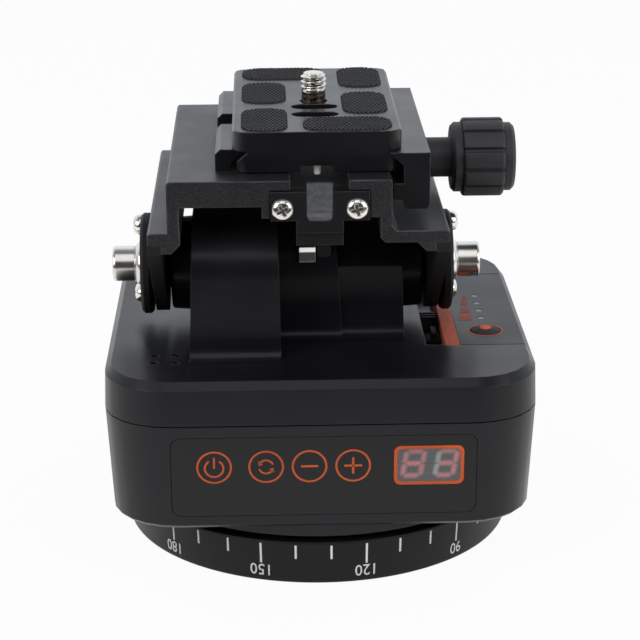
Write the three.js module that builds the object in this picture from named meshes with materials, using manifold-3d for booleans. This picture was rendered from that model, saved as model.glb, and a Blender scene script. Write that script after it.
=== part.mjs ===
// Remote pan tilt head: a square motor housing turns on a graduated dial base, three towers on its top
// carry a tilting bracket, and the bracket carries a dovetail clamp with a quick release plate.
// Millimetres, +Z up, origin on the pan axis at the underside of the dial base, front towards -Y.

import * as THREE from "three";
import { mergeVertices } from "three/addons/utils/BufferGeometryUtils.js";
import Module from "manifold-3d";

// Clearances, overruns and facet counts
const seat = 0.05;
const runningGap = 0.3;
const overrun = 2;
const weld = 0.0001;
const facets = { dial: 60, round: 28, small: 16, tiny: 12, housing: 6, corner: 4, arc: 7 };

// Dial base
const dial = {
  footRadius: 50, rimRadius: 50.6, height: 11.3, edge: 0.7, floor: 4.2,
  wellRadius: 40, padInner: 20, padOuter: 44, padDepth: 1.2, bushRadius: 8, bushHeight: 9,
  socketRadius: 4.75,
  socketDepth: 7.5,
};

// Pan hub, thrust bearing, fixed pan gear and its nut, all on the pan axis
const hub = { flangeRadius: 13, flangeHeight: 3, radius: 10, top: 30, boreRadius: 6.5, boreFloor: 12 };
const thrust = { radius: 18, height: 5, grooveRadius: 0.9 };
const gearModule = 0.8;
const gearBacklash = 0.1;
const toothShare = { tip: 0.9, root: 1.25, crown: 0.13, foot: 0.36 };
const panDrive = { wheelTeeth: 60, pinionTeeth: 15, face: 5, bottom: 20.4, bearing: 2.36, pinionBore: 2 };
const nut = { radius: 14, height: 3.5 };

// Square housing, given by half widths
const body = {
  half: 53, backInset: 1.8, cornerRadius: 16.7, bottom: 16.1, bottomInset: 1.36, seam: 43.2, seamGap: 0.3,
  chamferStart: 52.1, topInset: 0.3, chamfer: 1.6, top: 54.1, wall: 2.4, footRound: 0.9,
  bossInset: 2.2, bossDrop: 2.95, skirtOuter: 38.5, skirtWall: 2.2, skirtBottom: 6.2,
  hubBossRadius: 19, lipHeight: 1.6, lipWall: 1.1,
};
const casePost = {
  inset: 10, radius: 4, screwRadius: 1.4, headRadius: 2.7, headHeight: 1.7, sink: 2.4, length: 28,
};
const vent = { radius: 1, pitch: 5.2, leftInset: 15, frontInset: 17.8 };

// Control overlay on the front wall and the display behind it
const overlayInset = { left: 16.5, right: 16, bottom: 3.4, top: 3 };
const overlay = {
  left: overlayInset.left - body.half, right: body.half - overlayInset.right,
  bottom: body.bottom + overlayInset.bottom, top: body.seam - overlayInset.top, radius: 2.4, thick: 0.5,
  groove: 0.12,
};
const displayInset = { right: 2.9, top: 2.7, width: 17.1, height: 10.5 };
const display = {
  left: overlay.right - displayInset.right - displayInset.width, right: overlay.right - displayInset.right,
  bottom: overlay.top - displayInset.top - displayInset.height, top: overlay.top - displayInset.top,
  radius: 1.7, thick: 0.7, moduleDepth: 4, margin: 0.6,
};
const boardInset = { side: 15, bottom: 3.3, top: 1.2 };
const board = {
  left: boardInset.side - body.half, right: body.half - boardInset.side,
  bottom: body.bottom + boardInset.bottom,
  top: body.seam - boardInset.top, thick: 1.6, slotDepth: 2,
};

// Tilt axis and what turns on it, measured outwards from the middle of the two towers
const tilt = { x: -5.2, y: -4.5, z: 69.2 };
const shaft = {
  radius: 4.5, end: 46.8, flangeRadius: 5.7, flangeThick: 1.4, edge: 0.6, leftInner: 18, rightInner: 16,
};
const arm = {
  inner: 32.6, outer: 35.8, radius: 12.1, shoulder: 2.4, edge: 0.5, collarRadius: 6.3, collarHeight: 0.6,
};
const disc = {
  inner: 36.5, outer: 39.4, radius: 12.9, edge: 0.7, spacerRadius: 9, screwBack: 4, screwUp: 9.1,
};
const discScrew = { radius: 1.4, headRadius: 2.5, headHeight: 1.9, tipInset: 0.5 };
const hubBoss = { reach: 31.7, radius: 11.7, draft: 0.4 };

// Towers: reach to the front and back of the axis, height over it and corner sizes. The middle one is a
// half round about the axis, the right one has a sloping front corner, and their ends lean inwards.
const drumRadius = 16.7;
const towers = {
  outer: 26.7, wall: 2.2, foot: 2.8, outerDraft: 0.03, innerDraft: 0.015, drumDraft: 0.06,
  left: { inner: -4.4, front: 31.1, back: 20, rise: 17.6, frontCorner: 12.6, backCorner: 14 },
  right: { inner: 11.15, front: 15.5, back: 13.5, rise: 13.5, frontCorner: 10.3, backCorner: 8, sloped: true },
  middle: {
    front: drumRadius, back: drumRadius, rise: drumRadius, frontCorner: drumRadius, backCorner: drumRadius,
  },
};
const tiltDrive = {
  wheelTeeth: 32, pinionTeeth: 12, face: 5, outer: 24.2, pinionBore: 1.5, motorRadius: 8,
};
const panMotor = {
  radius: 10, height: 19, flange: 1.2, angle: 135, shaftRadius: 2, postRadius: 2.6, postSpread: 7,
};

// Tilting bracket, an extruded profile across the head, measured from the tilt axis
const bracket = {
  length: 79.4, top: 32, plate: 6.3, thickPlate: 9.1, thickLeft: -8.7, leftWall: -31, rightWall: 22.1,
  wall: 2.8,
  ledgeTop: 19.5, ledge: 2.9, ribDrop: 2.2, ribInner: 30.2, corner: 1.2, edge: 0.5,
  channelLeft: -1.9, channelRight: 11.8, channelDepth: 3.4,
};

// Cover block that closes the channel at the front, its tongue, stop tab and screws
const cover = {
  left: -6.6, right: 16.8, bottom: 22.3, top: 29.4, thick: 3, gap: 0.2, proud: 0.4,
  tongueLeft: -0.6, tongueRight: 10.6, tongueBottom: 19.3, tailBottom: 15.9, tailInset: 1.3,
  screwLeft: -3.8, screwRight: 13.8, screwHeight: 25.2,
};
const coverScrew = { radius: 1.5, headRadius: 2.6, headHeight: 1.6, length: 9, dome: 0.5 };
const stopTab = { width: 6.1, top: 31.3, thick: 1.8, depth: 1.5, radius: 1.4 };

// Dovetail clamp: both jaws share the height of their lips and the slope of their flanks
const clamp = { top: 37.1, lip: 3.4, fixedTip: -12.4, movingTip: 21.7, travel: 4 };
const fixedJaw = {
  outer: -19.6, front: -29.3, back: 33.2, notchFront: -3.8, notchBack: 7.3, notchFloor: 1.6, edge: 1.2,
};
const movingJaw = {
  outer: 31.3, front: -34.6, back: 34.6, bottom: 23.4, edge: 0.8, tongueReach: 2.4, tongueBottom: 25.7,
  tongueTop: 29.6,
};

// Clamp screw and its knob, on an axis across the bracket
const knob = {
  height: 27, screwRadius: 3, screwEnd: 13, neckRadius: 5, collarStart: 39.1, collarRadius: 8.8,
  gripStart: 41.8, gripRadius: 9.9, gripEnd: 52.2, capEnd: 54.9, capRadius: 8.6, coreRadius: 6.6, edge: 0.8,
  lobes: 12, lobeDepth: 0.9, valleyShare: 0.13, flankShare: 0.07, turnShare: 0.142,
};

// Quick release plate, its rubber pads, its camera screw and its stop screw
const plate = {
  middle: 4.65, halfTop: 20.1, halfFlange: 19, front: -33.1, length: 70, lift: 0.3, thick: 9.8,
  overJaw: 0.2,
  cornerRadius: 4, edge: 0.5, slotLength: 11.5, slotWidth: 5.2, slotOne: -7.2, slotTwo: -15.3,
  reliefWidth: 7.8, reliefDepth: 1.6, reliefLength: 6,
};
const pad = {
  proud: 0.5, sink: 0.6, radius: 4.4, gap: 0.1, wide: 10.8, long: 22.6, crosswise: 20.9, crossDepth: 12.9,
};
const padPlace = { side: 12.4, crossSide: 7.4, end: 23.1, middle: 10.3, crossEnd: 28 };
const cameraScrew = {
  radius: 3.175, shank: 2.9, back: -0.8, top: 7.3, threadStart: 3.7, headRadius: 7, headHeight: 2,
  edge: 0.5,
};
const stopScrew = { radius: 1, back: -30.4, sink: 3, drop: 1.2 };

// Battery pack in the right side of the housing, its end cap, button, light pipe and cells
const packSize = { width: 21.6, frontInset: 25.1, length: 57.2, rise: 6.2 };
const pack = {
  left: body.half - packSize.width, front: packSize.frontInset - body.half,
  back: packSize.frontInset - body.half + packSize.length, bottom: body.bottom + packSize.rise,
  capThick: 3.5, wall: 1.7, gap: 0.3, trayWall: 1.6, topWall: 1.8,
};
const topPrint = { button: 11, buttonFront: 10.8, lamps: 10.9, firstLamp: 20.5 };
const button = {
  x: pack.left + topPrint.button, y: pack.front + topPrint.buttonFront, radius: 3.8, flangeRadius: 4.5,
  flange: 0.8,
  rise: 0.5, dome: 0.7, crownShare: 0.7,
};
const lamp = {
  x: pack.left + topPrint.lamps, first: pack.front + topPrint.firstLamp, pitch: 5.97, count: 4,
  radius: 0.9, barThick: 1.1,
  barWidth: 3, sink: 0.08,
};
const cell = { radius: 6.3, length: 50, gap: 0.2, inset: 12 };
const recessSize = { width: 4.9, frontInset: 0.1, length: 51.8 };
const recess = {
  left: pack.left - recessSize.width, front: pack.front + recessSize.frontInset,
  back: pack.front + recessSize.frontInset + recessSize.length, depth: 4.1, wall: 1.6,
};
const terminal = { inset: 12.4, depth: 6, foot: 0.7, tab: 2.7, tabWidth: 1.3, tabInset: 0.5, side: 0.9 };
const latch = {
  inset: 21.2, length: 8.6, foot: 0.9, height: 2.9, slope: 2.2, rib: 0.7, ribCount: 3, ribPitch: 1.7,
  ribRise: 0.4,
};

const wasm = await Module();
wasm.setup();

// Closed meshes to solids and back

function toSolid(geometry) {
  const plain = geometry.clone();
  plain.deleteAttribute("normal");
  plain.deleteAttribute("uv");
  const merged = mergeVertices(plain, weld);
  return new wasm.Manifold(new wasm.Mesh({
    numProp: 3,
    vertProperties: Float32Array.from(merged.attributes.position.array),
    triVerts: Uint32Array.from(merged.index.array),
  }));
}

function toGeometry(solid) {
  const mesh = solid.getMesh();
  const geometry = new THREE.BufferGeometry();
  geometry.setAttribute("position", new THREE.Float32BufferAttribute(mesh.vertProperties, mesh.numProp));
  geometry.setIndex(new THREE.Uint32BufferAttribute(mesh.triVerts, 1));
  const flat = geometry.toNonIndexed();
  flat.computeVertexNormals();
  return flat;
}

function join(first, ...others) {
  return toGeometry(others.reduce((sum, item) => sum.add(toSolid(item)), toSolid(first)));
}

function cut(first, ...others) {
  return toGeometry(others.reduce((rest, item) => rest.subtract(toSolid(item)), toSolid(first)));
}

function common(first, second) {
  return toGeometry(toSolid(first).intersect(toSolid(second)));
}

// Basic closed forms

function block([x0, x1], [y0, y1], [z0, z1]) {
  const geometry = new THREE.BoxGeometry(x1 - x0, y1 - y0, z1 - z0);
  return geometry.translate((x0 + x1) / 2, (y0 + y1) / 2, (z0 + z1) / 2);
}

function rodZ(radius, z0, z1, sides, x = 0, y = 0) {
  const geometry = new THREE.CylinderGeometry(radius, radius, z1 - z0, sides);
  return geometry.rotateX(Math.PI / 2).translate(x, y, (z0 + z1) / 2);
}

function rodX(radius, x0, x1, sides, y = 0, z = 0) {
  const geometry = new THREE.CylinderGeometry(radius, radius, x1 - x0, sides);
  return geometry.rotateZ(Math.PI / 2).translate((x0 + x1) / 2, y, z);
}

function rodY(radius, y0, y1, sides, x = 0, z = 0) {
  const geometry = new THREE.CylinderGeometry(radius, radius, y1 - y0, sides);
  return geometry.translate(x, (y0 + y1) / 2, z);
}

// A profile of [radius, height] pairs turned about Z
function turned(profile, sides) {
  const points = profile.map(([radius, height]) => new THREE.Vector2(radius, height));
  return new THREE.LatheGeometry(points, sides).rotateX(Math.PI / 2);
}

// The same about X, towards +X or, mirrored, towards -X
function turnedX(profile, sides, side = 1) {
  return turned(profile, sides).rotateY((side * Math.PI) / 2);
}

function outline(points) {
  return new THREE.Shape(points.map(([a, b]) => new THREE.Vector2(a, b)));
}

function roundedOutline(a0, a1, b0, b1, radius) {
  const shape = new THREE.Shape();
  shape.absarc(a1 - radius, b0 + radius, radius, -Math.PI / 2, 0);
  shape.absarc(a1 - radius, b1 - radius, radius, 0, Math.PI / 2);
  shape.absarc(a0 + radius, b1 - radius, radius, Math.PI / 2, Math.PI);
  shape.absarc(a0 + radius, b0 + radius, radius, Math.PI, (3 * Math.PI) / 2);
  shape.closePath();
  return shape;
}

function extruded(shape, depth, segments = facets.corner) {
  return new THREE.ExtrudeGeometry(shape, { depth, bevelEnabled: false, curveSegments: segments });
}

// A shape drawn in X and Y, raised from z0 to z1
function raised(shape, z0, z1, segments) {
  return extruded(shape, z1 - z0, segments).translate(0, 0, z0);
}

// A shape drawn in Y and Z, run from x0 to x1
function runX(shape, x0, x1, segments) {
  const turn = new THREE.Matrix4().makeBasis(
    new THREE.Vector3(0, 1, 0), new THREE.Vector3(0, 0, 1), new THREE.Vector3(1, 0, 0),
  );
  return extruded(shape, x1 - x0, segments).applyMatrix4(turn).translate(x0, 0, 0);
}

// A shape drawn in X and Z, run from y0 to y1
function runY(shape, y0, y1, segments) {
  return extruded(shape, y1 - y0, segments).rotateX(Math.PI / 2).translate(0, y1, 0);
}

// A ring of points round the housing's plan, a square with round corners and a slightly nearer back
function squareRing(half, radius, z) {
  const ring = [];
  for (let corner = 0; corner < 4; corner += 1) {
    const start = (corner * Math.PI) / 2;
    const cx = Math.sign(Math.cos(start + Math.PI / 4)) * (half - radius);
    const reach = corner < 2 ? half - body.backInset : half;
    const cy = Math.sign(Math.sin(start + Math.PI / 4)) * (reach - radius);
    for (let step = 0; step <= facets.housing; step += 1) {
      const angle = start + (step / facets.housing) * (Math.PI / 2);
      ring.push(new THREE.Vector3(cx + radius * Math.cos(angle), cy + radius * Math.sin(angle), z));
    }
  }
  return ring;
}

// A closed skin through rings of equal count, flat at both ends
function loft(rings) {
  const count = rings[0].length;
  const positions = rings.flat().flatMap((point) => [point.x, point.y, point.z]);
  const index = [];
  for (let level = 0; level + 1 < rings.length; level += 1) {
    for (let step = 0; step < count; step += 1) {
      const next = (step + 1) % count;
      const low = level * count;
      const high = low + count;
      index.push(low + step, low + next, high + next, low + step, high + next, high + step);
    }
  }
  const last = (rings.length - 1) * count;
  const flat = rings[0].map((point) => new THREE.Vector2(point.x, point.y));
  for (const [a, b, c] of THREE.ShapeUtils.triangulateShape(flat, [])) {
    index.push(c, b, a, last + a, last + b, last + c);
  }
  const geometry = new THREE.BufferGeometry();
  geometry.setAttribute("position", new THREE.Float32BufferAttribute(positions, 3));
  geometry.setIndex(index);
  return geometry;
}

// A spur gear about Z with straight-sided teeth, its first tooth centred on +X
function gear(teeth, bore, z0, z1, sides) {
  const pitchRadius = (gearModule * teeth) / 2;
  const tip = pitchRadius + gearModule * toothShare.tip;
  const root = pitchRadius - gearModule * toothShare.root;
  const step = (2 * Math.PI) / teeth;
  const thin = gearBacklash / pitchRadius;
  const points = [];
  for (let tooth = 0; tooth < teeth; tooth += 1) {
    const middle = tooth * step;
    for (const [radius, share] of [
      [root, -toothShare.foot], [tip, -toothShare.crown], [tip, toothShare.crown], [root, toothShare.foot],
    ]) {
      const angle = middle + share * step - Math.sign(share) * thin;
      points.push([radius * Math.cos(angle), radius * Math.sin(angle)]);
    }
  }
  return cut(raised(outline(points), z0, z1), rodZ(bore, z0 - overrun, z1 + overrun, sides));
}

// Named pieces with their finish

const finish = {
  shell: { color: 0x1b1b1d, roughness: 0.42, metalness: 0 },
  rubber: { color: 0x131313, roughness: 0.9, metalness: 0 },
  anodised: { color: 0x232427, roughness: 0.55, metalness: 0.6 },
  smoothAnodised: { color: 0x2a2b2e, roughness: 0.35, metalness: 0.7 },
  steel: { color: 0xb9b9b6, roughness: 0.25, metalness: 1 },
  nickel: { color: 0xcfcac0, roughness: 0.2, metalness: 1 },
  brass: { color: 0xb08d45, roughness: 0.35, metalness: 1 },
  nylon: { color: 0xe4e0d4, roughness: 0.6, metalness: 0 },
  orange: { color: 0xc4552f, roughness: 0.4, metalness: 0 },
  grey: { color: 0x77797d, roughness: 0.5, metalness: 0.3 },
  window: { color: 0x3a2a2c, roughness: 0.1, metalness: 0 },
  lens: { color: 0xd8d8d4, roughness: 0.3, metalness: 0 },
  circuit: { color: 0x1d5130, roughness: 0.6, metalness: 0 },
};

const head = new THREE.Group();
const tiltGroup = new THREE.Group();
tiltGroup.position.set(tilt.x, tilt.y, tilt.z);
head.add(tiltGroup);

function piece(name, geometry, look, parent = head) {
  const mesh = new THREE.Mesh(geometry, new THREE.MeshStandardMaterial(finish[look]));
  mesh.name = name;
  parent.add(mesh);
  return mesh;
}

// Dial base: a low drum with a wall for the scale, open on top, with a rubber ring let into its foot
function makeBase() {
  const drum = turned([
    [dial.bushRadius + seat, 0], [dial.padInner, 0], [dial.padInner, dial.padDepth],
    [dial.padOuter, dial.padDepth],
    [dial.padOuter, 0], [dial.footRadius - dial.edge, 0], [dial.footRadius, dial.edge],
    [dial.rimRadius, dial.height - dial.edge], [dial.rimRadius - dial.edge, dial.height],
    [dial.wellRadius, dial.height], [dial.wellRadius, dial.floor], [dial.bushRadius + seat, dial.floor],
    [dial.bushRadius + seat, 0],
  ], facets.dial);
  piece("dial_base", cut(drum), "shell");
  const ring = turned([
    [dial.padInner + seat, 0], [dial.padOuter - seat, 0], [dial.padOuter - seat, dial.padDepth - seat],
    [dial.padInner + seat, dial.padDepth - seat], [dial.padInner + seat, 0],
  ], facets.dial);
  piece("base_pad", cut(ring), "rubber");
}

const hubFoot = dial.floor + seat;
const hubShoulder = hubFoot + hub.flangeHeight;
const thrustBottom = hubShoulder + seat;
const thrustTop = thrustBottom + thrust.height;
const hubBossBottom = thrustTop + seat;
const panGearTop = panDrive.bottom + panDrive.face;

// Tripod bush, pan hub, thrust bearing, fixed gear and nut
function makePanAxis() {
  const bush = turned([
    [dial.socketRadius, 0], [dial.bushRadius, 0], [dial.bushRadius, dial.floor],
    [hub.boreRadius - seat, dial.floor],
    [hub.boreRadius - seat, dial.bushHeight], [0, dial.bushHeight], [0, dial.socketDepth],
    [dial.socketRadius, dial.socketDepth], [dial.socketRadius, 0],
  ], facets.round);
  piece("tripod_bush", cut(bush), "steel");
  const post = turned([
    [hub.boreRadius, hubFoot], [hub.flangeRadius, hubFoot], [hub.flangeRadius, hubShoulder],
    [hub.radius, hubShoulder],
    [hub.radius, hub.top], [hub.boreRadius, hub.top], [hub.boreRadius, hubFoot],
  ], facets.round);
  piece("pan_hub", cut(post), "anodised");
  const groove = thrustBottom + thrust.height / 2;
  const bearing = turned([
    [hub.radius + seat, thrustBottom], [thrust.radius, thrustBottom],
    [thrust.radius, groove - thrust.grooveRadius],
    [thrust.radius - thrust.grooveRadius, groove], [thrust.radius, groove + thrust.grooveRadius],
    [thrust.radius, thrustTop], [hub.radius + seat, thrustTop], [hub.radius + seat, thrustBottom],
  ], facets.round);
  piece("pan_bearing", cut(bearing), "steel");
  const wheel = gear(panDrive.wheelTeeth, hub.radius + seat, panDrive.bottom, panGearTop, facets.round);
  piece("pan_gear", wheel, "brass");
  const hexagon = rodZ(nut.radius, panGearTop + seat, panGearTop + seat + nut.height, 6);
  const bore = rodZ(
    hub.radius + seat, panGearTop - overrun, panGearTop + nut.height + overrun, facets.round,
  );
  piece("hub_nut", cut(hexagon, bore), "steel");
}

// Outer half width of the housing wall at a height below the seam
const lowerSlope = body.bottomInset / (body.seam - body.bottom);
const draft = Math.atan(lowerSlope);
const wallReach = (z) => body.half - lowerSlope * (body.seam - z);

// Geometry drawn on the sloping front wall, with X across, Y up the wall and Z outwards from it
function onFrontWall(geometry) {
  const foot = body.seam;
  return geometry.translate(0, -foot, 0).rotateX(Math.PI / 2 + draft).translate(0, -body.half, foot);
}

function packOutline(left, margin) {
  const low = pack.bottom - margin;
  return outline([
    [left, low], [wallReach(low) + margin, low], [body.half + margin, body.seam],
    [body.half - body.topInset + margin, body.chamferStart],
    [body.half - body.topInset - body.chamfer + margin, body.top + margin], [left, body.top + margin],
  ]);
}

const cornerPlaces = [[-1, -1], [1, -1], [1, 1], [-1, 1]].map(([sx, sy]) => [
  sx * (body.half - casePost.inset), sy * (body.half - casePost.inset) - Math.max(sy, 0) * body.backInset,
]);
const panGearRadius = (gearModule * panDrive.wheelTeeth) / 2;
const panPinionRadius = (gearModule * panDrive.pinionTeeth) / 2;
const panMotorAngle = THREE.MathUtils.degToRad(panMotor.angle);
const panMotorReach = panGearRadius + panPinionRadius;
const panMotorX = panMotorReach * Math.cos(panMotorAngle);
const panMotorY = panMotorReach * Math.sin(panMotorAngle);
const panMotorFoot = panGearTop + panMotor.flange;

// Lower shell: drafted wall, round foot, boss over the dial, skirt in its well and a tray for the pack
function makeLowerShell() {
  const rim = body.seam - body.seamGap / 2;
  const footHalf = wallReach(body.bottom);
  const outer = loft([
    squareRing(footHalf - body.footRound, body.cornerRadius - body.footRound, body.bottom),
    squareRing(wallReach(body.bottom + body.footRound), body.cornerRadius, body.bottom + body.footRound),
    squareRing(wallReach(rim), body.cornerRadius, rim),
  ]);
  const floorTop = body.bottom + body.wall;
  const inner = loft([
    squareRing(wallReach(floorTop) - body.wall, body.cornerRadius - body.wall, floorTop),
    squareRing(wallReach(rim + overrun) - body.wall, body.cornerRadius - body.wall, rim + overrun),
  ]);
  const boss = rodZ(
    body.half - body.bossInset, body.bottom - body.bossDrop, body.bottom + seat, facets.dial,
  );
  const skirt = rodZ(body.skirtOuter, body.skirtBottom, body.bottom + seat, facets.dial);
  const skirtHollow = rodZ(
    body.skirtOuter - body.skirtWall, body.skirtBottom - overrun, body.bottom, facets.dial,
  );
  const centre = rodZ(body.hubBossRadius, hubBossBottom, floorTop, facets.round);
  const hole = rodZ(hub.radius + runningGap, body.skirtBottom - overrun, floorTop + overrun, facets.round);
  const lipOuter = squareRing(body.half - body.wall - seat, body.cornerRadius - body.wall, rim - overrun);
  const lipTop = squareRing(
    body.half - body.wall - runningGap, body.cornerRadius - body.wall, rim + body.lipHeight,
  );
  const lipHalf = body.half - body.wall - runningGap - body.lipWall;
  const lip = cut(
    loft([lipOuter, lipTop]),
    loft([
      squareRing(lipHalf, body.cornerRadius - body.wall - body.lipWall, rim - overrun - seat),
      squareRing(lipHalf, body.cornerRadius - body.wall - body.lipWall, rim + body.lipHeight + seat),
    ]),
    ...cornerPlaces.map(([x, y]) => rodZ(
      casePost.radius + runningGap, rim, rim + body.lipHeight + overrun, facets.tiny, x, y,
    )),
    block(
      [recess.left - recess.wall - runningGap, body.half + overrun],
      [pack.front - pack.trayWall - overrun, pack.back + pack.trayWall + overrun], [rim, rim + overrun],
    ),
  );
  const tray = common(
    block(
      [pack.left - pack.gap - pack.trayWall, body.half],
      [pack.front - pack.gap - pack.trayWall, pack.back + pack.gap + pack.trayWall],
      [pack.bottom - pack.gap - pack.trayWall, rim],
    ),
    outer,
  );
  const bay = runY(
    packOutline(pack.left - pack.gap, pack.gap), pack.front - pack.gap, pack.back + pack.gap,
  );
  const posts = cornerPlaces.map(
    ([x, y]) => rodZ(casePost.radius, floorTop - seat, rim, facets.tiny, x, y),
  );
  const sinks = cornerPlaces.map(([x, y]) => rodZ(
    casePost.headRadius + runningGap, body.bottom - overrun, body.bottom + casePost.sink, facets.tiny, x, y,
  ));
  const bores = cornerPlaces.map(([x, y]) => rodZ(
    casePost.screwRadius + runningGap, body.bottom - overrun, rim + overrun, facets.tiny, x, y,
  ));
  const motorPosts = [-1, 1].map((side) => {
    const outwards = panMotorReach + panMotor.radius - panMotor.postRadius;
    const x = outwards * Math.cos(panMotorAngle) - side * panMotor.postSpread * Math.sin(panMotorAngle);
    const y = outwards * Math.sin(panMotorAngle) + side * panMotor.postSpread * Math.cos(panMotorAngle);
    return rodZ(
      panMotor.postRadius, floorTop - seat, panMotorFoot - panMotor.flange - seat, facets.tiny, x, y,
    );
  });
  const pocket = onFrontWall(raised(
    roundedOutline(
      overlay.left - overlay.groove, overlay.right + overlay.groove,
      overlay.bottom - overlay.groove, overlay.top + overlay.groove, overlay.radius,
    ), -overlay.thick, overrun,
  ));
  const sight = onFrontWall(raised(
    roundedOutline(
      display.left - display.margin, display.right + display.margin,
      display.bottom - display.margin, display.top + display.margin, display.radius,
    ), -body.wall - overrun, overrun,
  ));
  const boardSlots = [board.left, board.right].map((x) => block(
    [x - board.slotDepth, x + board.slotDepth],
    [boardFront - board.slotDepth, boardFront + board.thick + board.slotDepth],
    [floorTop - seat, board.bottom + board.slotDepth],
  ));
  const boardRoom = block(
    [board.left - runningGap, board.right + runningGap],
    [boardFront - seat, boardFront + board.thick + seat],
    [board.bottom - seat, board.top + overrun],
  );
  const hollow = cut(
    join(cut(outer, inner), boss, centre, tray, lip, ...posts, ...motorPosts, ...boardSlots), bay,
  );
  const shell = cut(
    join(hollow, cut(skirt, skirtHollow)), hole, pocket, sight, boardRoom, ...sinks, ...bores,
  );
  piece("lower_shell", shell, "shell");
}

const boardFront = -body.half + body.wall + lowerSlope * (body.seam - board.bottom) + display.moduleDepth;

// Overlay, window, display module and circuit board
function makeControls() {
  const sheet = raised(
    roundedOutline(overlay.left, overlay.right, overlay.bottom, overlay.top, overlay.radius),
    -overlay.thick + seat, 0,
  );
  const opening = raised(
    roundedOutline(display.left, display.right, display.bottom, display.top, display.radius), -overrun,
    overrun,
  );
  piece("control_overlay", cut(onFrontWall(sheet), onFrontWall(opening)), "shell");
  const glass = raised(
    roundedOutline(
      display.left + seat, display.right - seat, display.bottom + seat, display.top - seat, display.radius,
    ), -display.thick, 0,
  );
  piece("display_window", cut(onFrontWall(glass)), "window");
  const face = -display.thick - seat;
  const unit = onFrontWall(raised(
    roundedOutline(display.left, display.right, display.bottom, display.top, display.radius),
    face - display.moduleDepth - body.wall, face,
  ));
  const behind = block(
    [board.left, board.right], [boardFront - seat, boardFront + body.half], [board.bottom, board.top],
  );
  piece("display_module", cut(unit, behind), "window");
  const sheetBoard = block(
    [board.left, board.right], [boardFront, boardFront + board.thick], [board.bottom, board.top],
  );
  piece("circuit_board", cut(sheetBoard), "circuit");
}

// Side outline of a tower, in Y and Z from the tilt axis, with a fillet at its front and back foot
function towerOutline(size, inset, low, foot) {
  const front = -size.front + inset;
  const back = size.back - inset;
  const top = size.rise - inset;
  const frontCorner = size.frontCorner - inset;
  const backCorner = size.backCorner - inset;
  const shape = new THREE.Shape();
  shape.moveTo(front - foot, low);
  if (foot > 0) {
    shape.absarc(front - foot, low + foot, foot, -Math.PI / 2, 0);
  }
  shape.lineTo(front, top - frontCorner);
  if (size.sloped) {
    shape.lineTo(front + frontCorner, top);
  } else {
    shape.absarc(front + frontCorner, top - frontCorner, frontCorner, Math.PI, Math.PI / 2, true);
  }
  shape.absarc(back - backCorner, top - backCorner, backCorner, Math.PI / 2, 0, true);
  if (foot > 0) {
    shape.lineTo(back, low + foot);
    shape.absarc(back + foot, low + foot, foot, Math.PI, (3 * Math.PI) / 2);
  } else {
    shape.lineTo(back, low);
  }
  shape.closePath();
  return shape;
}

// Leans the ends of a part that runs along X inwards, by a share of the height over its foot
function drafted(geometry, foot, leftDraft, rightDraft) {
  geometry.computeBoundingBox();
  const middle = (geometry.boundingBox.min.x + geometry.boundingBox.max.x) / 2;
  const places = geometry.getAttribute("position");
  for (let i = 0; i < places.count; i += 1) {
    const rise = places.getZ(i) - foot;
    const x = places.getX(i);
    places.setX(i, x < middle ? x + rise * leftDraft : x - rise * rightDraft);
  }
  return geometry;
}

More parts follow.
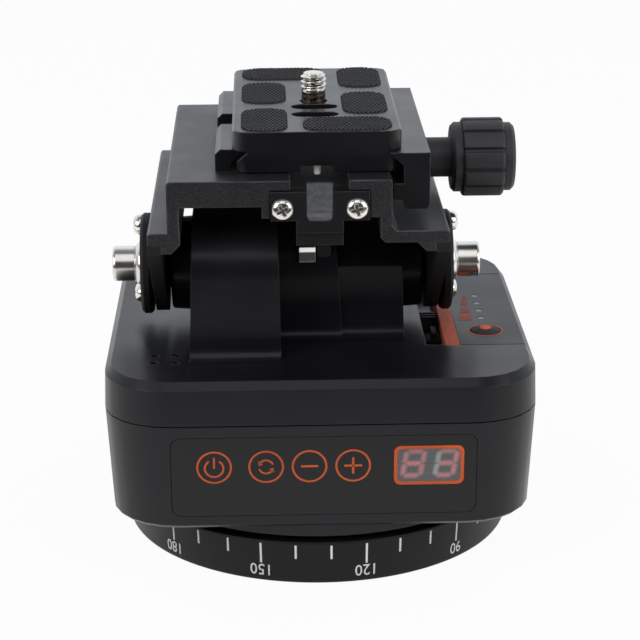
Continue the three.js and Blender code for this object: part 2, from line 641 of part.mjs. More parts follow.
// Upper shell: the chamfered top with the three towers moulded on, open from below
function makeUpperShell() {
  const rim = body.seam + body.seamGap / 2;
  const topHalf = body.half - body.topInset;
  const outer = loft([
    squareRing(body.half, body.cornerRadius, rim),
    squareRing(topHalf, body.cornerRadius - body.topInset, body.chamferStart),
    squareRing(topHalf - body.chamfer, body.cornerRadius - body.topInset - body.chamfer, body.top),
  ]);
  const ceiling = body.top - body.wall;
  const inner = loft([
    squareRing(body.half - body.wall, body.cornerRadius - body.wall, rim - overrun),
    squareRing(body.half - body.wall, body.cornerRadius - body.wall, ceiling - body.chamfer),
    squareRing(body.half - body.wall - body.chamfer, body.cornerRadius - body.wall - body.chamfer, ceiling),
  ]);
  const base = body.top - tilt.z;
  const place = (geometry) => geometry.translate(tilt.x, tilt.y, tilt.z);
  const lean = towers.drumDraft * (towers.middle.rise - base);
  const spans = [
    [towers.left, -towers.outer, towers.left.inner, towers.outerDraft, towers.innerDraft],
    [towers.right, towers.right.inner - towers.wall, towers.outer, 0, towers.outerDraft],
    [towers.middle, towers.left.inner - towers.wall / 2, towers.right.inner, 0, towers.drumDraft],
  ];
  const solids = spans.map(([size, x0, x1, leftDraft, rightDraft]) => place(drafted(
    runX(towerOutline(size, 0, base - seat, towers.foot), x0, x1, facets.arc), base, leftDraft, rightDraft,
  )));
  const rooms = [
    [towers.left, towers.wall - towers.outer, towers.left.inner - towers.wall],
    [towers.right, towers.right.inner, towers.outer - towers.wall],
    [towers.middle, towers.left.inner, towers.right.inner - towers.wall - lean],
  ];
  const hollows = rooms.map(([size, x0, x1]) => place(
    runX(towerOutline(size, towers.wall, base - body.wall - overrun, 0), x0, x1, facets.arc),
  ));
  const bosses = [-1, 1].map((side) => place(turnedX([
    [0, towers.outer - towers.wall / 2], [hubBoss.radius + hubBoss.draft, towers.outer - towers.wall / 2],
    [hubBoss.radius, hubBoss.reach - arm.edge], [hubBoss.radius - arm.edge, hubBoss.reach],
    [0, hubBoss.reach],
  ], facets.round, side)));
  const bores = [-1, 1].map((side) => place(rodX(
    shaft.radius + runningGap, side > 0 ? towers.outer - towers.wall - overrun : -hubBoss.reach - overrun,
    side > 0 ? hubBoss.reach + overrun : -towers.outer + towers.wall + overrun, facets.small,
  )));
  const posts = cornerPlaces.map(([x, y]) => rodZ(casePost.radius, rim, ceiling + seat, facets.tiny, x, y));
  const pilots = cornerPlaces.map(([x, y]) => rodZ(
    casePost.screwRadius + seat, rim - overrun, ceiling - overrun / 2, facets.tiny, x, y,
  ));
  const bayBox = common(
    block(
      [recess.left - recess.wall, body.half],
      [pack.front - pack.gap - pack.trayWall, pack.back + pack.gap + pack.trayWall], [rim, body.top - seat],
    ),
    outer,
  );
  const bayRoom = block(
    [recess.left, pack.left], [pack.front, pack.back],
    [rim - overrun, body.top - recess.depth - recess.wall],
  );
  const bay = runY(
    packOutline(pack.left - pack.gap, pack.gap), pack.front - pack.gap, pack.back + pack.gap,
  );
  const well = block(
    [recess.left, pack.left], [recess.front, recess.back], [body.top - recess.depth, body.top + overrun],
  );
  const vents = [-0.5, 0.5].flatMap((i) => [-0.5, 0.5].map((j) => rodZ(
    vent.radius, ceiling - overrun, body.top + overrun, facets.tiny,
    vent.leftInset - body.half + i * vent.pitch,
    vent.frontInset - body.half + j * vent.pitch,
  )));
  const shell = cut(
    join(cut(outer, inner), ...posts, cut(bayBox, bayRoom), ...solids, ...bosses),
    ...hollows, ...bores, ...pilots, bay, well, ...vents,
  );
  piece("upper_shell", shell, "shell");
}

// Screws that close the two shells from below
function makeCaseScrews() {
  cornerPlaces.forEach(([x, y], index) => {
    const head = body.bottom + casePost.sink - seat;
    const screw = turned([
      [0, head - casePost.headHeight], [casePost.headRadius, head - casePost.headHeight],
      [casePost.headRadius, head], [casePost.screwRadius, head],
      [casePost.screwRadius, head + casePost.length],
      [0, head + casePost.length],
    ], facets.tiny).translate(x, y, 0);
    piece(`case_screw_${index + 1}`, cut(screw), "steel");
  });
}

// Pan motor with its pinion on the fixed gear, and the tilt motor with its pinion on the tilting gear
function makeDrives() {
  const can = turned([
    [0, panDrive.bottom], [panMotor.shaftRadius - seat, panDrive.bottom],
    [panMotor.shaftRadius - seat, panMotorFoot - panMotor.flange],
    [panMotor.radius, panMotorFoot - panMotor.flange],
    [panMotor.radius, panMotorFoot], [panMotor.radius - seat, panMotorFoot],
    [panMotor.radius - seat, panMotorFoot + panMotor.height], [0, panMotorFoot + panMotor.height],
  ], facets.small).translate(panMotorX, panMotorY, 0);
  piece("pan_motor", cut(can), "steel");
  const pinion = gear(
    panDrive.pinionTeeth, panMotor.shaftRadius + seat, panDrive.bottom, panGearTop - runningGap,
    facets.small,
  );
  const mesh = meshPhase(panDrive.wheelTeeth, panDrive.pinionTeeth, panMotorAngle);
  piece("pan_pinion", pinion.rotateZ(mesh).translate(panMotorX, panMotorY, 0), "nylon");

  const wheelRadius = (gearModule * tiltDrive.wheelTeeth) / 2;
  const pinionRadius = (gearModule * tiltDrive.pinionTeeth) / 2;
  const reach = -(wheelRadius + pinionRadius);
  const faceEnd = -tiltDrive.outer + tiltDrive.face;
  // Gears about Z are laid about X: their Z runs to +X, their X to -Z, and a tooth on -Y is at -90 degrees
  const wheel = gear(tiltDrive.wheelTeeth, shaft.radius + seat, -tiltDrive.outer, faceEnd, facets.round);
  piece("tilt_gear", wheel.rotateY(Math.PI / 2), "brass", tiltGroup);
  const small = gear(
    tiltDrive.pinionTeeth, tiltDrive.pinionBore + seat, -tiltDrive.outer, faceEnd, facets.small,
  );
  const phase = meshPhase(tiltDrive.wheelTeeth, tiltDrive.pinionTeeth, -Math.PI / 2);
  piece(
    "tilt_pinion", small.rotateZ(phase).rotateY(Math.PI / 2).translate(0, reach, 0), "nylon", tiltGroup,
  );
  const motorStart = faceEnd + runningGap;
  const motor = turnedX([
    [0, -tiltDrive.outer], [tiltDrive.pinionBore, -tiltDrive.outer], [tiltDrive.pinionBore, motorStart],
    [tiltDrive.motorRadius, motorStart],
    [tiltDrive.motorRadius, towers.left.inner - towers.wall - runningGap],
    [0, towers.left.inner - towers.wall - runningGap],
  ], facets.small).translate(0, reach, 0);
  piece("tilt_motor", cut(motor), "steel", tiltGroup);
}

// Turn of a pinion that sets a gap of it on a tooth of the wheel, along the line of centres at an angle
function meshPhase(wheelTeeth, pinionTeeth, angle) {
  const wheelStep = (2 * Math.PI) / wheelTeeth;
  const pinionStep = (2 * Math.PI) / pinionTeeth;
  const offset = angle / wheelStep - Math.round(angle / wheelStep);
  return angle + Math.PI + pinionStep / 2 + offset * pinionStep;
}

// Side arms under the bracket, with tapering edges that run into a round end
function armOutline() {
  const top = bracket.ledgeTop - bracket.ledge - seat;
  const corner = new THREE.Vector2(bracket.length / 2, top - arm.shoulder);
  const reach = corner.length();
  const tangent = Math.atan2(corner.y, corner.x) - Math.acos(arm.radius / reach);
  const shape = new THREE.Shape();
  shape.moveTo(-corner.x, top);
  shape.lineTo(-corner.x, corner.y);
  shape.absarc(0, 0, arm.radius, Math.PI - tangent, tangent + 2 * Math.PI);
  shape.lineTo(corner.x, corner.y);
  shape.lineTo(corner.x, top);
  shape.closePath();
  return shape;
}

function makeTiltSides() {
  for (const [side, word] of [[-1, "left"], [1, "right"]]) {
    const near = side > 0 ? arm.inner : -arm.outer;
    const far = side > 0 ? arm.outer : -arm.inner;
    const bore = rodX(shaft.radius + seat, near - overrun, far + overrun, facets.round);
    const collar = rodX(
      arm.collarRadius, side > 0 ? near - arm.collarHeight : far - seat,
      side > 0 ? near + seat : far + arm.collarHeight, facets.round,
    );
    const armTaps = [-1, 1].map((up) => rodX(
      discScrew.radius + seat, near - overrun, far + overrun, facets.tiny, disc.screwBack,
      up * disc.screwUp,
    ));
    piece(
      `${word}_arm`, cut(join(runX(armOutline(), near, far, facets.round), collar), bore, ...armTaps),
      "anodised", tiltGroup,
    );

    const wheel = turnedX([
      [shaft.radius + seat, arm.outer + seat], [disc.spacerRadius, arm.outer + seat],
      [disc.spacerRadius, disc.inner],
      [disc.radius - disc.edge, disc.inner], [disc.radius, disc.inner + disc.edge],
      [disc.radius, disc.outer - disc.edge], [disc.radius - disc.edge, disc.outer],
      [shaft.radius + seat, disc.outer], [shaft.radius + seat, arm.outer + seat],
    ], facets.round, side);
    const discTaps = [-1, 1].map((up) => rodX(
      discScrew.radius + seat, Math.min(side * disc.outer * 2, 0), Math.max(side * disc.outer * 2, 0),
      facets.tiny, disc.screwBack, up * disc.screwUp,
    ));
    piece(`${word}_disc`, cut(wheel, ...discTaps), "smoothAnodised", tiltGroup);

    const flange = disc.outer + seat;
    const innerEnd = side > 0 ? shaft.rightInner : shaft.leftInner;
    const stub = turnedX([
      [0, innerEnd], [shaft.radius, innerEnd], [shaft.radius, flange], [shaft.flangeRadius, flange],
      [shaft.flangeRadius, flange + shaft.flangeThick], [shaft.radius, flange + shaft.flangeThick],
      [shaft.radius, shaft.end - shaft.edge], [shaft.radius - shaft.edge, shaft.end], [0, shaft.end],
    ], facets.round, side);
    piece(`${word}_tilt_shaft`, cut(stub), "steel", tiltGroup);

    for (const [up, place] of [[1, "upper"], [-1, "lower"]]) {
      const screw = turnedX([
        [0, arm.inner + discScrew.tipInset], [discScrew.radius, arm.inner + discScrew.tipInset],
        [discScrew.radius, flange],
        [discScrew.headRadius, flange], [discScrew.headRadius, flange + discScrew.headHeight / 2],
        [discScrew.headRadius / 2, flange + discScrew.headHeight], [0, flange + discScrew.headHeight],
      ], facets.tiny, side).translate(0, disc.screwBack, up * disc.screwUp);
      piece(`${word}_${place}_disc_screw`, cut(screw), "nickel", tiltGroup);
    }
  }
}

const bracketFront = -bracket.length / 2;
const bracketBack = bracket.length / 2;

// Bracket: one extrusion with a thick middle, two walls, a ledge and a shelf, and a rib under each
function bracketOutline() {
  const under = bracket.top - bracket.plate;
  const thickUnder = bracket.top - bracket.thickPlate;
  const ledgeBottom = bracket.ledgeTop - bracket.ledge;
  const ribBottom = ledgeBottom - bracket.ribDrop;
  const ribStart = bracket.ribInner - bracket.ribDrop;
  return outline([
    [bracket.leftWall + bracket.edge, bracket.top], [bracket.leftWall, bracket.top - bracket.edge],
    [bracket.leftWall, bracket.ledgeTop], [-arm.outer + bracket.edge, bracket.ledgeTop],
    [-arm.outer, bracket.ledgeTop - bracket.edge], [-arm.outer, ledgeBottom],
    [-arm.inner + seat, ledgeBottom],
    [-arm.inner + seat, ribBottom], [-bracket.ribInner, ribBottom], [-ribStart, ledgeBottom],
    [bracket.leftWall + bracket.wall, under], [bracket.thickLeft, under], [bracket.thickLeft, thickUnder],
    [bracket.rightWall - bracket.wall, thickUnder],
    [bracket.rightWall - bracket.wall, ledgeBottom + bracket.corner],
    [bracket.rightWall - bracket.wall + bracket.corner, ledgeBottom], [ribStart, ledgeBottom],
    [bracket.ribInner, ribBottom], [arm.inner - seat, ribBottom], [arm.inner - seat, ledgeBottom],
    [arm.outer, ledgeBottom], [arm.outer, bracket.ledgeTop - bracket.edge],
    [arm.outer - bracket.edge, bracket.ledgeTop], [bracket.rightWall + bracket.corner, bracket.ledgeTop],
    [bracket.rightWall, bracket.ledgeTop + bracket.corner], [bracket.rightWall, bracket.top - bracket.edge],
    [bracket.rightWall - bracket.edge, bracket.top],
  ]);
}

function makeBracket() {
  const bar = runY(bracketOutline(), bracketFront, bracketBack);
  const channel = block(
    [bracket.channelLeft, bracket.channelRight], [bracketFront - overrun, bracketBack + overrun],
    [bracket.top - bracket.channelDepth, bracket.top + overrun],
  );
  const room = block(
    [cover.left - cover.gap, cover.right + cover.gap], [bracketFront - overrun, bracketFront + cover.thick],
    [thickUnderside - overrun, cover.top + cover.gap],
  );
  const tapped = rodX(
    knob.screwRadius + runningGap, knob.screwEnd - clamp.travel / 4, bracket.rightWall + overrun,
    facets.small,
    0, knob.height,
  );
  const coverTaps = [cover.screwLeft, cover.screwRight].map((x) => rodY(
    coverScrew.radius + seat, bracketFront - overrun, bracketFront + coverScrew.length + overrun,
    facets.tiny,
    x, cover.screwHeight,
  ));
  piece("bracket", cut(bar, channel, room, tapped, ...coverTaps), "anodised", tiltGroup);
}

const thickUnderside = bracket.top - bracket.thickPlate;
const coverFront = bracketFront - cover.proud;
const coverBack = bracketFront + cover.thick - seat;
const tabMiddle = (cover.tongueLeft + cover.tongueRight) / 2;

// Cover block with its stepped tongue, the stop tab let into it and the two screws that hold it
function makeCover() {
  const bar = block([cover.left, cover.right], [coverFront, coverBack], [cover.bottom, cover.top]);
  const tongue = block(
    [cover.tongueLeft, cover.tongueRight], [coverFront, coverBack],
    [cover.tongueBottom, cover.bottom + seat],
  );
  const tail = block(
    [cover.tongueLeft, cover.tongueRight], [coverFront + cover.tailInset, coverBack],
    [cover.tailBottom, cover.tongueBottom + seat],
  );
  const slot = runY(
    tabOutline(stopTab.width / 2 + seat, seat, overrun), coverFront - overrun, coverFront + stopTab.depth,
  );
  const holes = [cover.screwLeft, cover.screwRight].map((x) => rodY(
    coverScrew.radius + seat, coverFront - overrun, coverBack + overrun, facets.tiny, x, cover.screwHeight,
  ));
  piece("channel_cover", cut(join(bar, tongue, tail), slot, ...holes), "smoothAnodised", tiltGroup);

  const tab = runY(
    tabOutline(stopTab.width / 2, 0, 0), coverFront + stopTab.depth - seat - stopTab.thick,
    coverFront + stopTab.depth - seat,
  );
  piece("stop_tab", cut(tab), "grey", tiltGroup);

  for (const [x, word] of [[cover.screwLeft, "left"], [cover.screwRight, "right"]]) {
    const screw = turned([
      [0, -coverScrew.length], [coverScrew.radius, -coverScrew.length], [coverScrew.radius, seat],
      [coverScrew.headRadius, seat], [coverScrew.headRadius, coverScrew.headHeight - coverScrew.dome],
      [coverScrew.headRadius - coverScrew.dome, coverScrew.headHeight], [0, coverScrew.headHeight],
    ], facets.small).rotateX(Math.PI / 2).translate(x, coverFront, cover.screwHeight);
    piece(`${word}_cover_screw`, cut(screw), "nickel", tiltGroup);
  }
}

// Front outline of the stop tab: square on top, round corners below
function tabOutline(half, low, high) {
  const shape = new THREE.Shape();
  const bottom = cover.bottom - low;
  const radius = stopTab.radius;
  shape.moveTo(tabMiddle + half, stopTab.top + high);
  shape.lineTo(tabMiddle - half, stopTab.top + high);
  shape.absarc(tabMiddle - half + radius, bottom + radius, radius, Math.PI, (3 * Math.PI) / 2);
  shape.absarc(tabMiddle + half - radius, bottom + radius, radius, -Math.PI / 2, 0);
  shape.closePath();
  return shape;
}

// Jaws with undercut lips
function makeJaws() {
  const foot = bracket.top + seat;
  const fixed = runY(outline([
    [fixedJaw.outer, foot], [clamp.fixedTip - clamp.lip, foot],
    [clamp.fixedTip - clamp.lip, clamp.top - clamp.lip],
    [clamp.fixedTip, clamp.top], [fixedJaw.outer + fixedJaw.edge, clamp.top],
    [fixedJaw.outer, clamp.top - fixedJaw.edge],
  ]), fixedJaw.front, fixedJaw.back);
  const notch = block(
    [fixedJaw.outer - overrun, clamp.fixedTip + overrun], [fixedJaw.notchFront, fixedJaw.notchBack],
    [foot + fixedJaw.notchFloor, clamp.top + overrun],
  );
  piece("fixed_jaw", cut(fixed, notch), "smoothAnodised", tiltGroup);

  const face = clamp.movingTip + clamp.lip;
  const tongue = face - movingJaw.tongueReach;
  const moving = runY(outline([
    [clamp.movingTip, clamp.top], [face, clamp.top - clamp.lip], [face, movingJaw.tongueTop],
    [tongue, movingJaw.tongueTop], [tongue, movingJaw.tongueBottom], [face, movingJaw.tongueBottom],
    [face, movingJaw.bottom + movingJaw.edge], [face + movingJaw.edge, movingJaw.bottom],
    [movingJaw.outer - movingJaw.edge, movingJaw.bottom],
    [movingJaw.outer, movingJaw.bottom + movingJaw.edge],
    [movingJaw.outer, clamp.top],
  ]), movingJaw.front, movingJaw.back);
  const hole = rodX(
    knob.screwRadius + runningGap, tongue - overrun, movingJaw.outer + overrun, facets.small, 0,
    knob.height,
  );
  piece("moving_jaw", cut(moving, hole), "smoothAnodised", tiltGroup);
}

// Knob: a neck and collar on the screw, a lobed grip and a plain end cap
function makeKnob() {
  const axis = (geometry) => geometry.translate(0, 0, knob.height);
  const neckStart = movingJaw.outer + seat;
  const screw = turnedX([
    [0, knob.screwEnd], [knob.screwRadius - knob.edge, knob.screwEnd],
    [knob.screwRadius, knob.screwEnd + knob.edge],
    [knob.screwRadius, knob.gripEnd - seat], [0, knob.gripEnd - seat],
  ], facets.small);
  piece("clamp_screw", cut(axis(screw)), "steel", tiltGroup);
  const core = turnedX([
    [knob.screwRadius + seat, neckStart], [knob.neckRadius, neckStart], [knob.neckRadius, knob.collarStart],
    [knob.collarRadius - knob.edge, knob.collarStart], [knob.collarRadius, knob.collarStart + knob.edge],
    [knob.collarRadius, knob.gripStart - seat], [knob.coreRadius, knob.gripStart - seat],
    [knob.coreRadius, knob.gripEnd - seat], [knob.screwRadius + seat, knob.gripEnd - seat],
    [knob.screwRadius + seat, neckStart],
  ], facets.round);
  piece("knob_body", cut(axis(core)), "rubber", tiltGroup);

  const points = [];
  const valley = knob.gripRadius - knob.lobeDepth;
  const step = (2 * Math.PI) / knob.lobes;
  for (let lobe = 0; lobe < knob.lobes; lobe += 1) {
    const start = (lobe + knob.turnShare) * step;
    const crownStart = start + (knob.valleyShare + knob.flankShare) * step;
    const crownEnd = start + (1 - knob.flankShare) * step;
    points.push([valley, start], [valley, start + knob.valleyShare * step]);
    for (let part = 0; part <= 3; part += 1) {
      points.push([knob.gripRadius, crownStart + ((crownEnd - crownStart) * part) / 3]);
    }
  }
  const lobed = outline(
    points.map(([radius, angle]) => [radius * Math.cos(angle), radius * Math.sin(angle)]),
  );
  const grip = cut(
    runX(lobed, knob.gripStart, knob.gripEnd),
    rodX(knob.coreRadius + seat, knob.gripStart - overrun, knob.gripEnd + overrun, facets.round),
  );
  const rounding = turnedX([
    [0, knob.gripStart], [knob.gripRadius - knob.edge, knob.gripStart],
    [knob.gripRadius, knob.gripStart + knob.edge],
    [knob.gripRadius, knob.gripEnd - knob.edge], [knob.gripRadius - knob.edge, knob.gripEnd],
    [0, knob.gripEnd],
  ], facets.round);
  piece("knob_grip", axis(common(grip, rounding)), "rubber", tiltGroup);
  const cap = turnedX([
    [0, knob.gripEnd + seat], [knob.capRadius, knob.gripEnd + seat],
    [knob.capRadius, knob.capEnd - knob.edge],
    [knob.capRadius - knob.edge, knob.capEnd], [0, knob.capEnd],
  ], facets.round);
  piece("knob_cap", cut(axis(cap)), "rubber", tiltGroup);
}

const plateBottom = bracket.top + plate.lift;
const plateTop = plateBottom + plate.thick;
const plateBack = plate.front + plate.length;
const plateCentre = (plate.front + plateBack) / 2;

// Pads in pairs, each the other turned half way round the middle of the plate
const padSpots = [
  ["front_left", -padPlace.side, -padPlace.end, pad.wide, pad.long],
  ["middle_left", -padPlace.side, padPlace.middle - pad.radius, pad.wide, pad.long],
  ["front_right", padPlace.crossSide, -padPlace.crossEnd, pad.crosswise, pad.crossDepth],
].flatMap(([word, x, y, width, depth]) => [
  [word, x, y, width, depth],
  [word.replace(/^(front|middle)_(left|right)$/, (_, place, hand) => (
    `${place === "front" ? "back" : "middle"}_${hand === "left" ? "right" : "left"}`
  )), -x, -y, width, depth],
]);

function padShape(x, y, width, depth, grow) {
  return roundedOutline(
    plate.middle + x - width / 2 - grow, plate.middle + x + width / 2 + grow,
    plateCentre + y - depth / 2 - grow, plateCentre + y + depth / 2 + grow, pad.radius + grow,
  );
}

// Quick release plate with its undercut sides, slots, pads and screws
function makePlate() {
  const jawTop = clamp.top + plate.overJaw;
  const slack = clamp.movingTip - plate.middle - runningGap * Math.SQRT2 + clamp.top;
  const neck = slack - jawTop + plate.overJaw;
  const flangeTop = slack - plate.halfFlange;
  const side = (sign) => [
    [plate.halfFlange - plate.edge, plateBottom], [plate.halfFlange, plateBottom + plate.edge],
    [plate.halfFlange, flangeTop], [neck, jawTop - plate.overJaw], [neck, jawTop], [plate.halfTop, jawTop],
    [plate.halfTop, plateTop - plate.edge], [plate.halfTop - plate.edge, plateTop],
  ].map(([reach, height]) => [plate.middle + sign * reach, height]);
  const bar = runY(outline([...side(1), ...side(-1).reverse()]), plate.front, plateBack);
  const plan = raised(
    roundedOutline(
      plate.middle - plate.halfTop - seat, plate.middle + plate.halfTop + seat, plate.front, plateBack,
      plate.cornerRadius,
    ), plateBottom - overrun, plateTop + overrun,
  );
  const slots = [plate.slotOne, plate.slotTwo].map((y) => raised(
    roundedOutline(
      plate.middle - plate.slotLength / 2, plate.middle + plate.slotLength / 2,
      y - plate.slotWidth / 2, y + plate.slotWidth / 2, plate.slotWidth / 2 - seat,
    ), plateBottom - overrun, plateTop + overrun,
  ));
  const beds = padSpots.map(([, x, y, width, depth]) => raised(
    padShape(x, y, width, depth, pad.gap), plateTop - pad.sink, plateTop + overrun,
  ));
  const screwHole = rodZ(
    cameraScrew.radius + runningGap, plateBottom - overrun, plateTop + overrun, facets.small,
    plate.middle, cameraScrew.back,
  );
  const headRoom = rodZ(
    cameraScrew.headRadius + runningGap, plateBottom - overrun,
    plateBottom + cameraScrew.headHeight + runningGap,
    facets.round, plate.middle, cameraScrew.back,
  );
  const relief = block(
    [plate.middle - plate.reliefWidth / 2, plate.middle + plate.reliefWidth / 2],
    [plate.front - overrun, plate.front + plate.reliefLength],
    [plateBottom - overrun, plateBottom + plate.reliefDepth],
  );
  const stopHole = rodZ(
    stopScrew.radius + seat, plateBottom - overrun, plateBottom + plate.reliefDepth + stopScrew.sink,
    facets.tiny,
    plate.middle, stopScrew.back,
  );
  piece(
    "quick_release_plate", cut(common(bar, plan), ...slots, ...beds, screwHole, headRoom, relief, stopHole),
    "smoothAnodised", tiltGroup,
  );
  for (const [word, x, y, width, depth] of padSpots) {
    const rubber = raised(
      padShape(x, y, width, depth, 0), plateTop - pad.sink + seat, plateTop + pad.proud,
    );
    piece(`${word}_pad`, cut(rubber), "rubber", tiltGroup);
  }
  const under = plateBottom + seat;
  const screw = turned([
    [0, under], [cameraScrew.headRadius, under], [cameraScrew.headRadius, under + cameraScrew.headHeight],
    [cameraScrew.shank, under + cameraScrew.headHeight],
    [cameraScrew.shank, plateTop + cameraScrew.threadStart],
    [cameraScrew.radius, plateTop + cameraScrew.threadStart],
    [cameraScrew.radius, plateTop + cameraScrew.top - cameraScrew.edge],
    [cameraScrew.radius - cameraScrew.edge, plateTop + cameraScrew.top], [0, plateTop + cameraScrew.top],
  ], facets.small).translate(plate.middle, cameraScrew.back, 0);
  piece("camera_screw", cut(screw), "nickel", tiltGroup);
  const stop = rodZ(
    stopScrew.radius, plateBottom - stopScrew.drop, plateBottom + plate.reliefDepth + stopScrew.sink - seat,
    facets.tiny, plate.middle, stopScrew.back,
  );
  piece("plate_stop_screw", cut(stop), "nickel", tiltGroup);
}

// Battery pack: a case open towards the middle of the head, an orange end cap on it, and what it holds
function makePack() {
  const caseLeft = pack.left + pack.capThick + seat;
  const whole = runY(packOutline(caseLeft, 0), pack.front, pack.back);
  const roof = body.top - pack.topWall;
  const outerWall = wallReach(pack.bottom) - pack.wall;
  const hollow = block(
    [caseLeft - overrun, outerWall], [pack.front + pack.wall, pack.back - pack.wall],
    [pack.bottom + pack.wall, roof],
  );
  const lampSpots = Array.from({ length: lamp.count }, (_, index) => lamp.first + index * lamp.pitch);
  const lampHoles = lampSpots.map((y) => rodZ(
    lamp.radius + seat, roof - overrun, body.top + overrun, facets.tiny, lamp.x, y,
  ));
  const buttonHole = rodZ(
    button.radius + runningGap / 2, roof - overrun, body.top + overrun, facets.round, button.x, button.y,
  );
  piece("battery_case", cut(whole, hollow, buttonHole, ...lampHoles), "shell");

  const cap = block(
    [pack.left, pack.left + pack.capThick], [pack.front, pack.back], [pack.bottom, body.top],
  );
  piece("battery_end_cap", cut(cap), "orange");

  const barTop = roof - seat;
  const bar = block(
    [lamp.x - lamp.barWidth / 2, lamp.x + lamp.barWidth / 2],
    [lamp.first - lamp.radius, lamp.first + (lamp.count - 1) * lamp.pitch + lamp.radius],
    [barTop - lamp.barThick, barTop],
  );
  const prongs = lampSpots.map((y) => rodZ(
    lamp.radius, barTop - lamp.barThick / 2, body.top - lamp.sink, facets.tiny, lamp.x, y,
  ));
  piece("light_pipe", join(bar, ...prongs), "lens");

  const flangeTop = roof - seat;
  const dome = turned([
    [0, flangeTop - button.flange], [button.flangeRadius, flangeTop - button.flange],
    [button.flangeRadius, flangeTop],
    [button.radius, flangeTop], [button.radius, body.top + button.rise - button.dome / 2],
    [button.radius * button.crownShare, body.top + button.rise],
    [0, body.top + button.rise + button.dome / 2],
  ], facets.round).translate(button.x, button.y, 0);
  piece("battery_button", cut(dome), "shell");

  const middle = (pack.front + pack.back) / 2;
  for (let level = 0; level < 2; level += 1) {
    const z = pack.bottom + pack.wall + cell.gap + cell.radius + level * (2 * cell.radius + cell.gap);
    const can = rodY(
      cell.radius, middle - cell.length / 2, middle + cell.length / 2, facets.small,
      pack.left + cell.inset, z,
    );
    piece(level === 0 ? "lower_cell" : "upper_cell", cut(can), "steel");
  }
}

// In the recess beside the pack: a contact blade on its foot, and the latch with its ribbed thumb pad
function makeRecessParts() {
  const floor = body.top - recess.depth + seat;
  const left = recess.left + seat;
  const right = pack.left - pack.gap;
  const contactFront = recess.front + terminal.inset;
  const contactBack = contactFront + terminal.depth;
  const foot = block([left, right], [contactFront, contactBack], [floor, floor + terminal.foot]);
  const blade = block(
    [right - terminal.side - terminal.tabWidth, right - terminal.side],
    [contactFront + terminal.tabInset, contactBack - terminal.tabInset],
    [floor + terminal.foot - seat, floor + terminal.tab],
  );
  piece("battery_contact", join(foot, blade), "steel");
  const latchFront = recess.front + latch.inset;
  const latchBack = latchFront + latch.length;
  const thumb = runX(outline([
    [latchFront, floor], [latchBack, floor], [latchBack, floor + latch.foot],
    [latchBack - latch.slope, floor + latch.height], [latchFront + latch.slope, floor + latch.height],
    [latchFront, floor + latch.foot],
  ]), left, right);
  const ribs = Array.from({ length: latch.ribCount }, (_, index) => {
    const y = (latchFront + latchBack) / 2 + (index - (latch.ribCount - 1) / 2) * latch.ribPitch;
    return block(
      [left, right], [y - latch.rib / 2, y + latch.rib / 2],
      [floor + latch.height - seat, floor + latch.height + latch.ribRise],
    );
  });
  piece("pack_latch", join(thumb, ...ribs), "shell");
}

makeBase();
makePanAxis();
makeLowerShell();
makeControls();
makeUpperShell();
makeCaseScrews();
makeDrives();
makeTiltSides();
makeBracket();
makeCover();
makeJaws();
makeKnob();
makePlate();
makePack();
makeRecessParts();

export default head;
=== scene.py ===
"""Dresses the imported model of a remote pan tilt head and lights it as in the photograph.

Sizes are in millimetres, and masks and shares run from 0 to 1, unless a line says otherwise.
"""

import logging
import math
from dataclasses import dataclass, field, replace
from enum import Enum
from typing import Callable, Iterable, Sequence

import bpy
from mathutils import Matrix, Vector


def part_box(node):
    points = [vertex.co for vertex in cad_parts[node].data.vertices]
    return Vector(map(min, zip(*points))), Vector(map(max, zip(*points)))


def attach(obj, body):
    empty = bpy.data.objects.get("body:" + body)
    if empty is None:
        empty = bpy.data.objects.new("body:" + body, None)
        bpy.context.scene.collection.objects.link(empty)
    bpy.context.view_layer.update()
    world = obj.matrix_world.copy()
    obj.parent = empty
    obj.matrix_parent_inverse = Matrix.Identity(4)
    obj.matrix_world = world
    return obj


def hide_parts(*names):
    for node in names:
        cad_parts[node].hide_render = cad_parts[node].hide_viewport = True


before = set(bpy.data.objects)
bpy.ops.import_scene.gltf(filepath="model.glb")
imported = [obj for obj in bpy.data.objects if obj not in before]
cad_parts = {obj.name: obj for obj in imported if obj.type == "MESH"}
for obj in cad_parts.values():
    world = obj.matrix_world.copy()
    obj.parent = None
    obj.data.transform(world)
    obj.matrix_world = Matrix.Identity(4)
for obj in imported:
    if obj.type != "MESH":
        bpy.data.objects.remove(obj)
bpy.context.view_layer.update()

log = logging.getLogger("pan_tilt_head")
MM = 0.001
Colour = tuple[float, float, float]
Point2 = tuple[float, float]

# The pads' moulded net: its pitch across and along, half a rib's share of the pitch, and the rib's flat share.
NET_ACROSS, NET_ALONG, NET_RIB, NET_FLAT = 1.03, 2.8, 0.2, 0.25

# The colour of the painted shade in hollows.
HOLLOW_SHADE_COLOUR: Colour = (0.02, 0.017, 0.014)
SPECKLE_COLOUR: Colour = (0.25, 0.25, 0.26)
RIB_COLOUR: Colour = (0.12, 0.12, 0.125)
DUST_COLOUR: Colour = (0.5, 0.5, 0.49)
PURE_WHITE: Colour = (1.0, 1.0, 1.0)

# The reach of the grain's bumps in millimetres and the gain on their depth, and what the tool lines add to the
# roughness.
BUMP_REACH, BUMP_GAIN, STREAK_ROUGHNESS = 0.05, 10.0, 0.1

# How many millimetres a finish takes to turn matt with height, and what that adds to its roughness.
MATT_SPAN, MATT_ROUGHNESS = 4.0, 0.65

# The angle in degrees up to which edges are shaded smoothly, the numerals' swelling as a share of their size, and
# the length in millimetres that stays flat beside a round edge.
SOFT_ANGLE, NUMERAL_SWELLING, SUPPORT = 35.0, 0.006, 0.2


class Body(Enum):
    """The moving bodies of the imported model."""

    BASE = "base"
    HEAD = "pan_head"
    BRACKET = "tilt_bracket"
    KNOB = "clamp_knob"
    PLATE = "release_plate"
    CAMERA_SCREW = "camera_screw"
    PACK = "battery_pack"
    BUTTON = "battery_button"


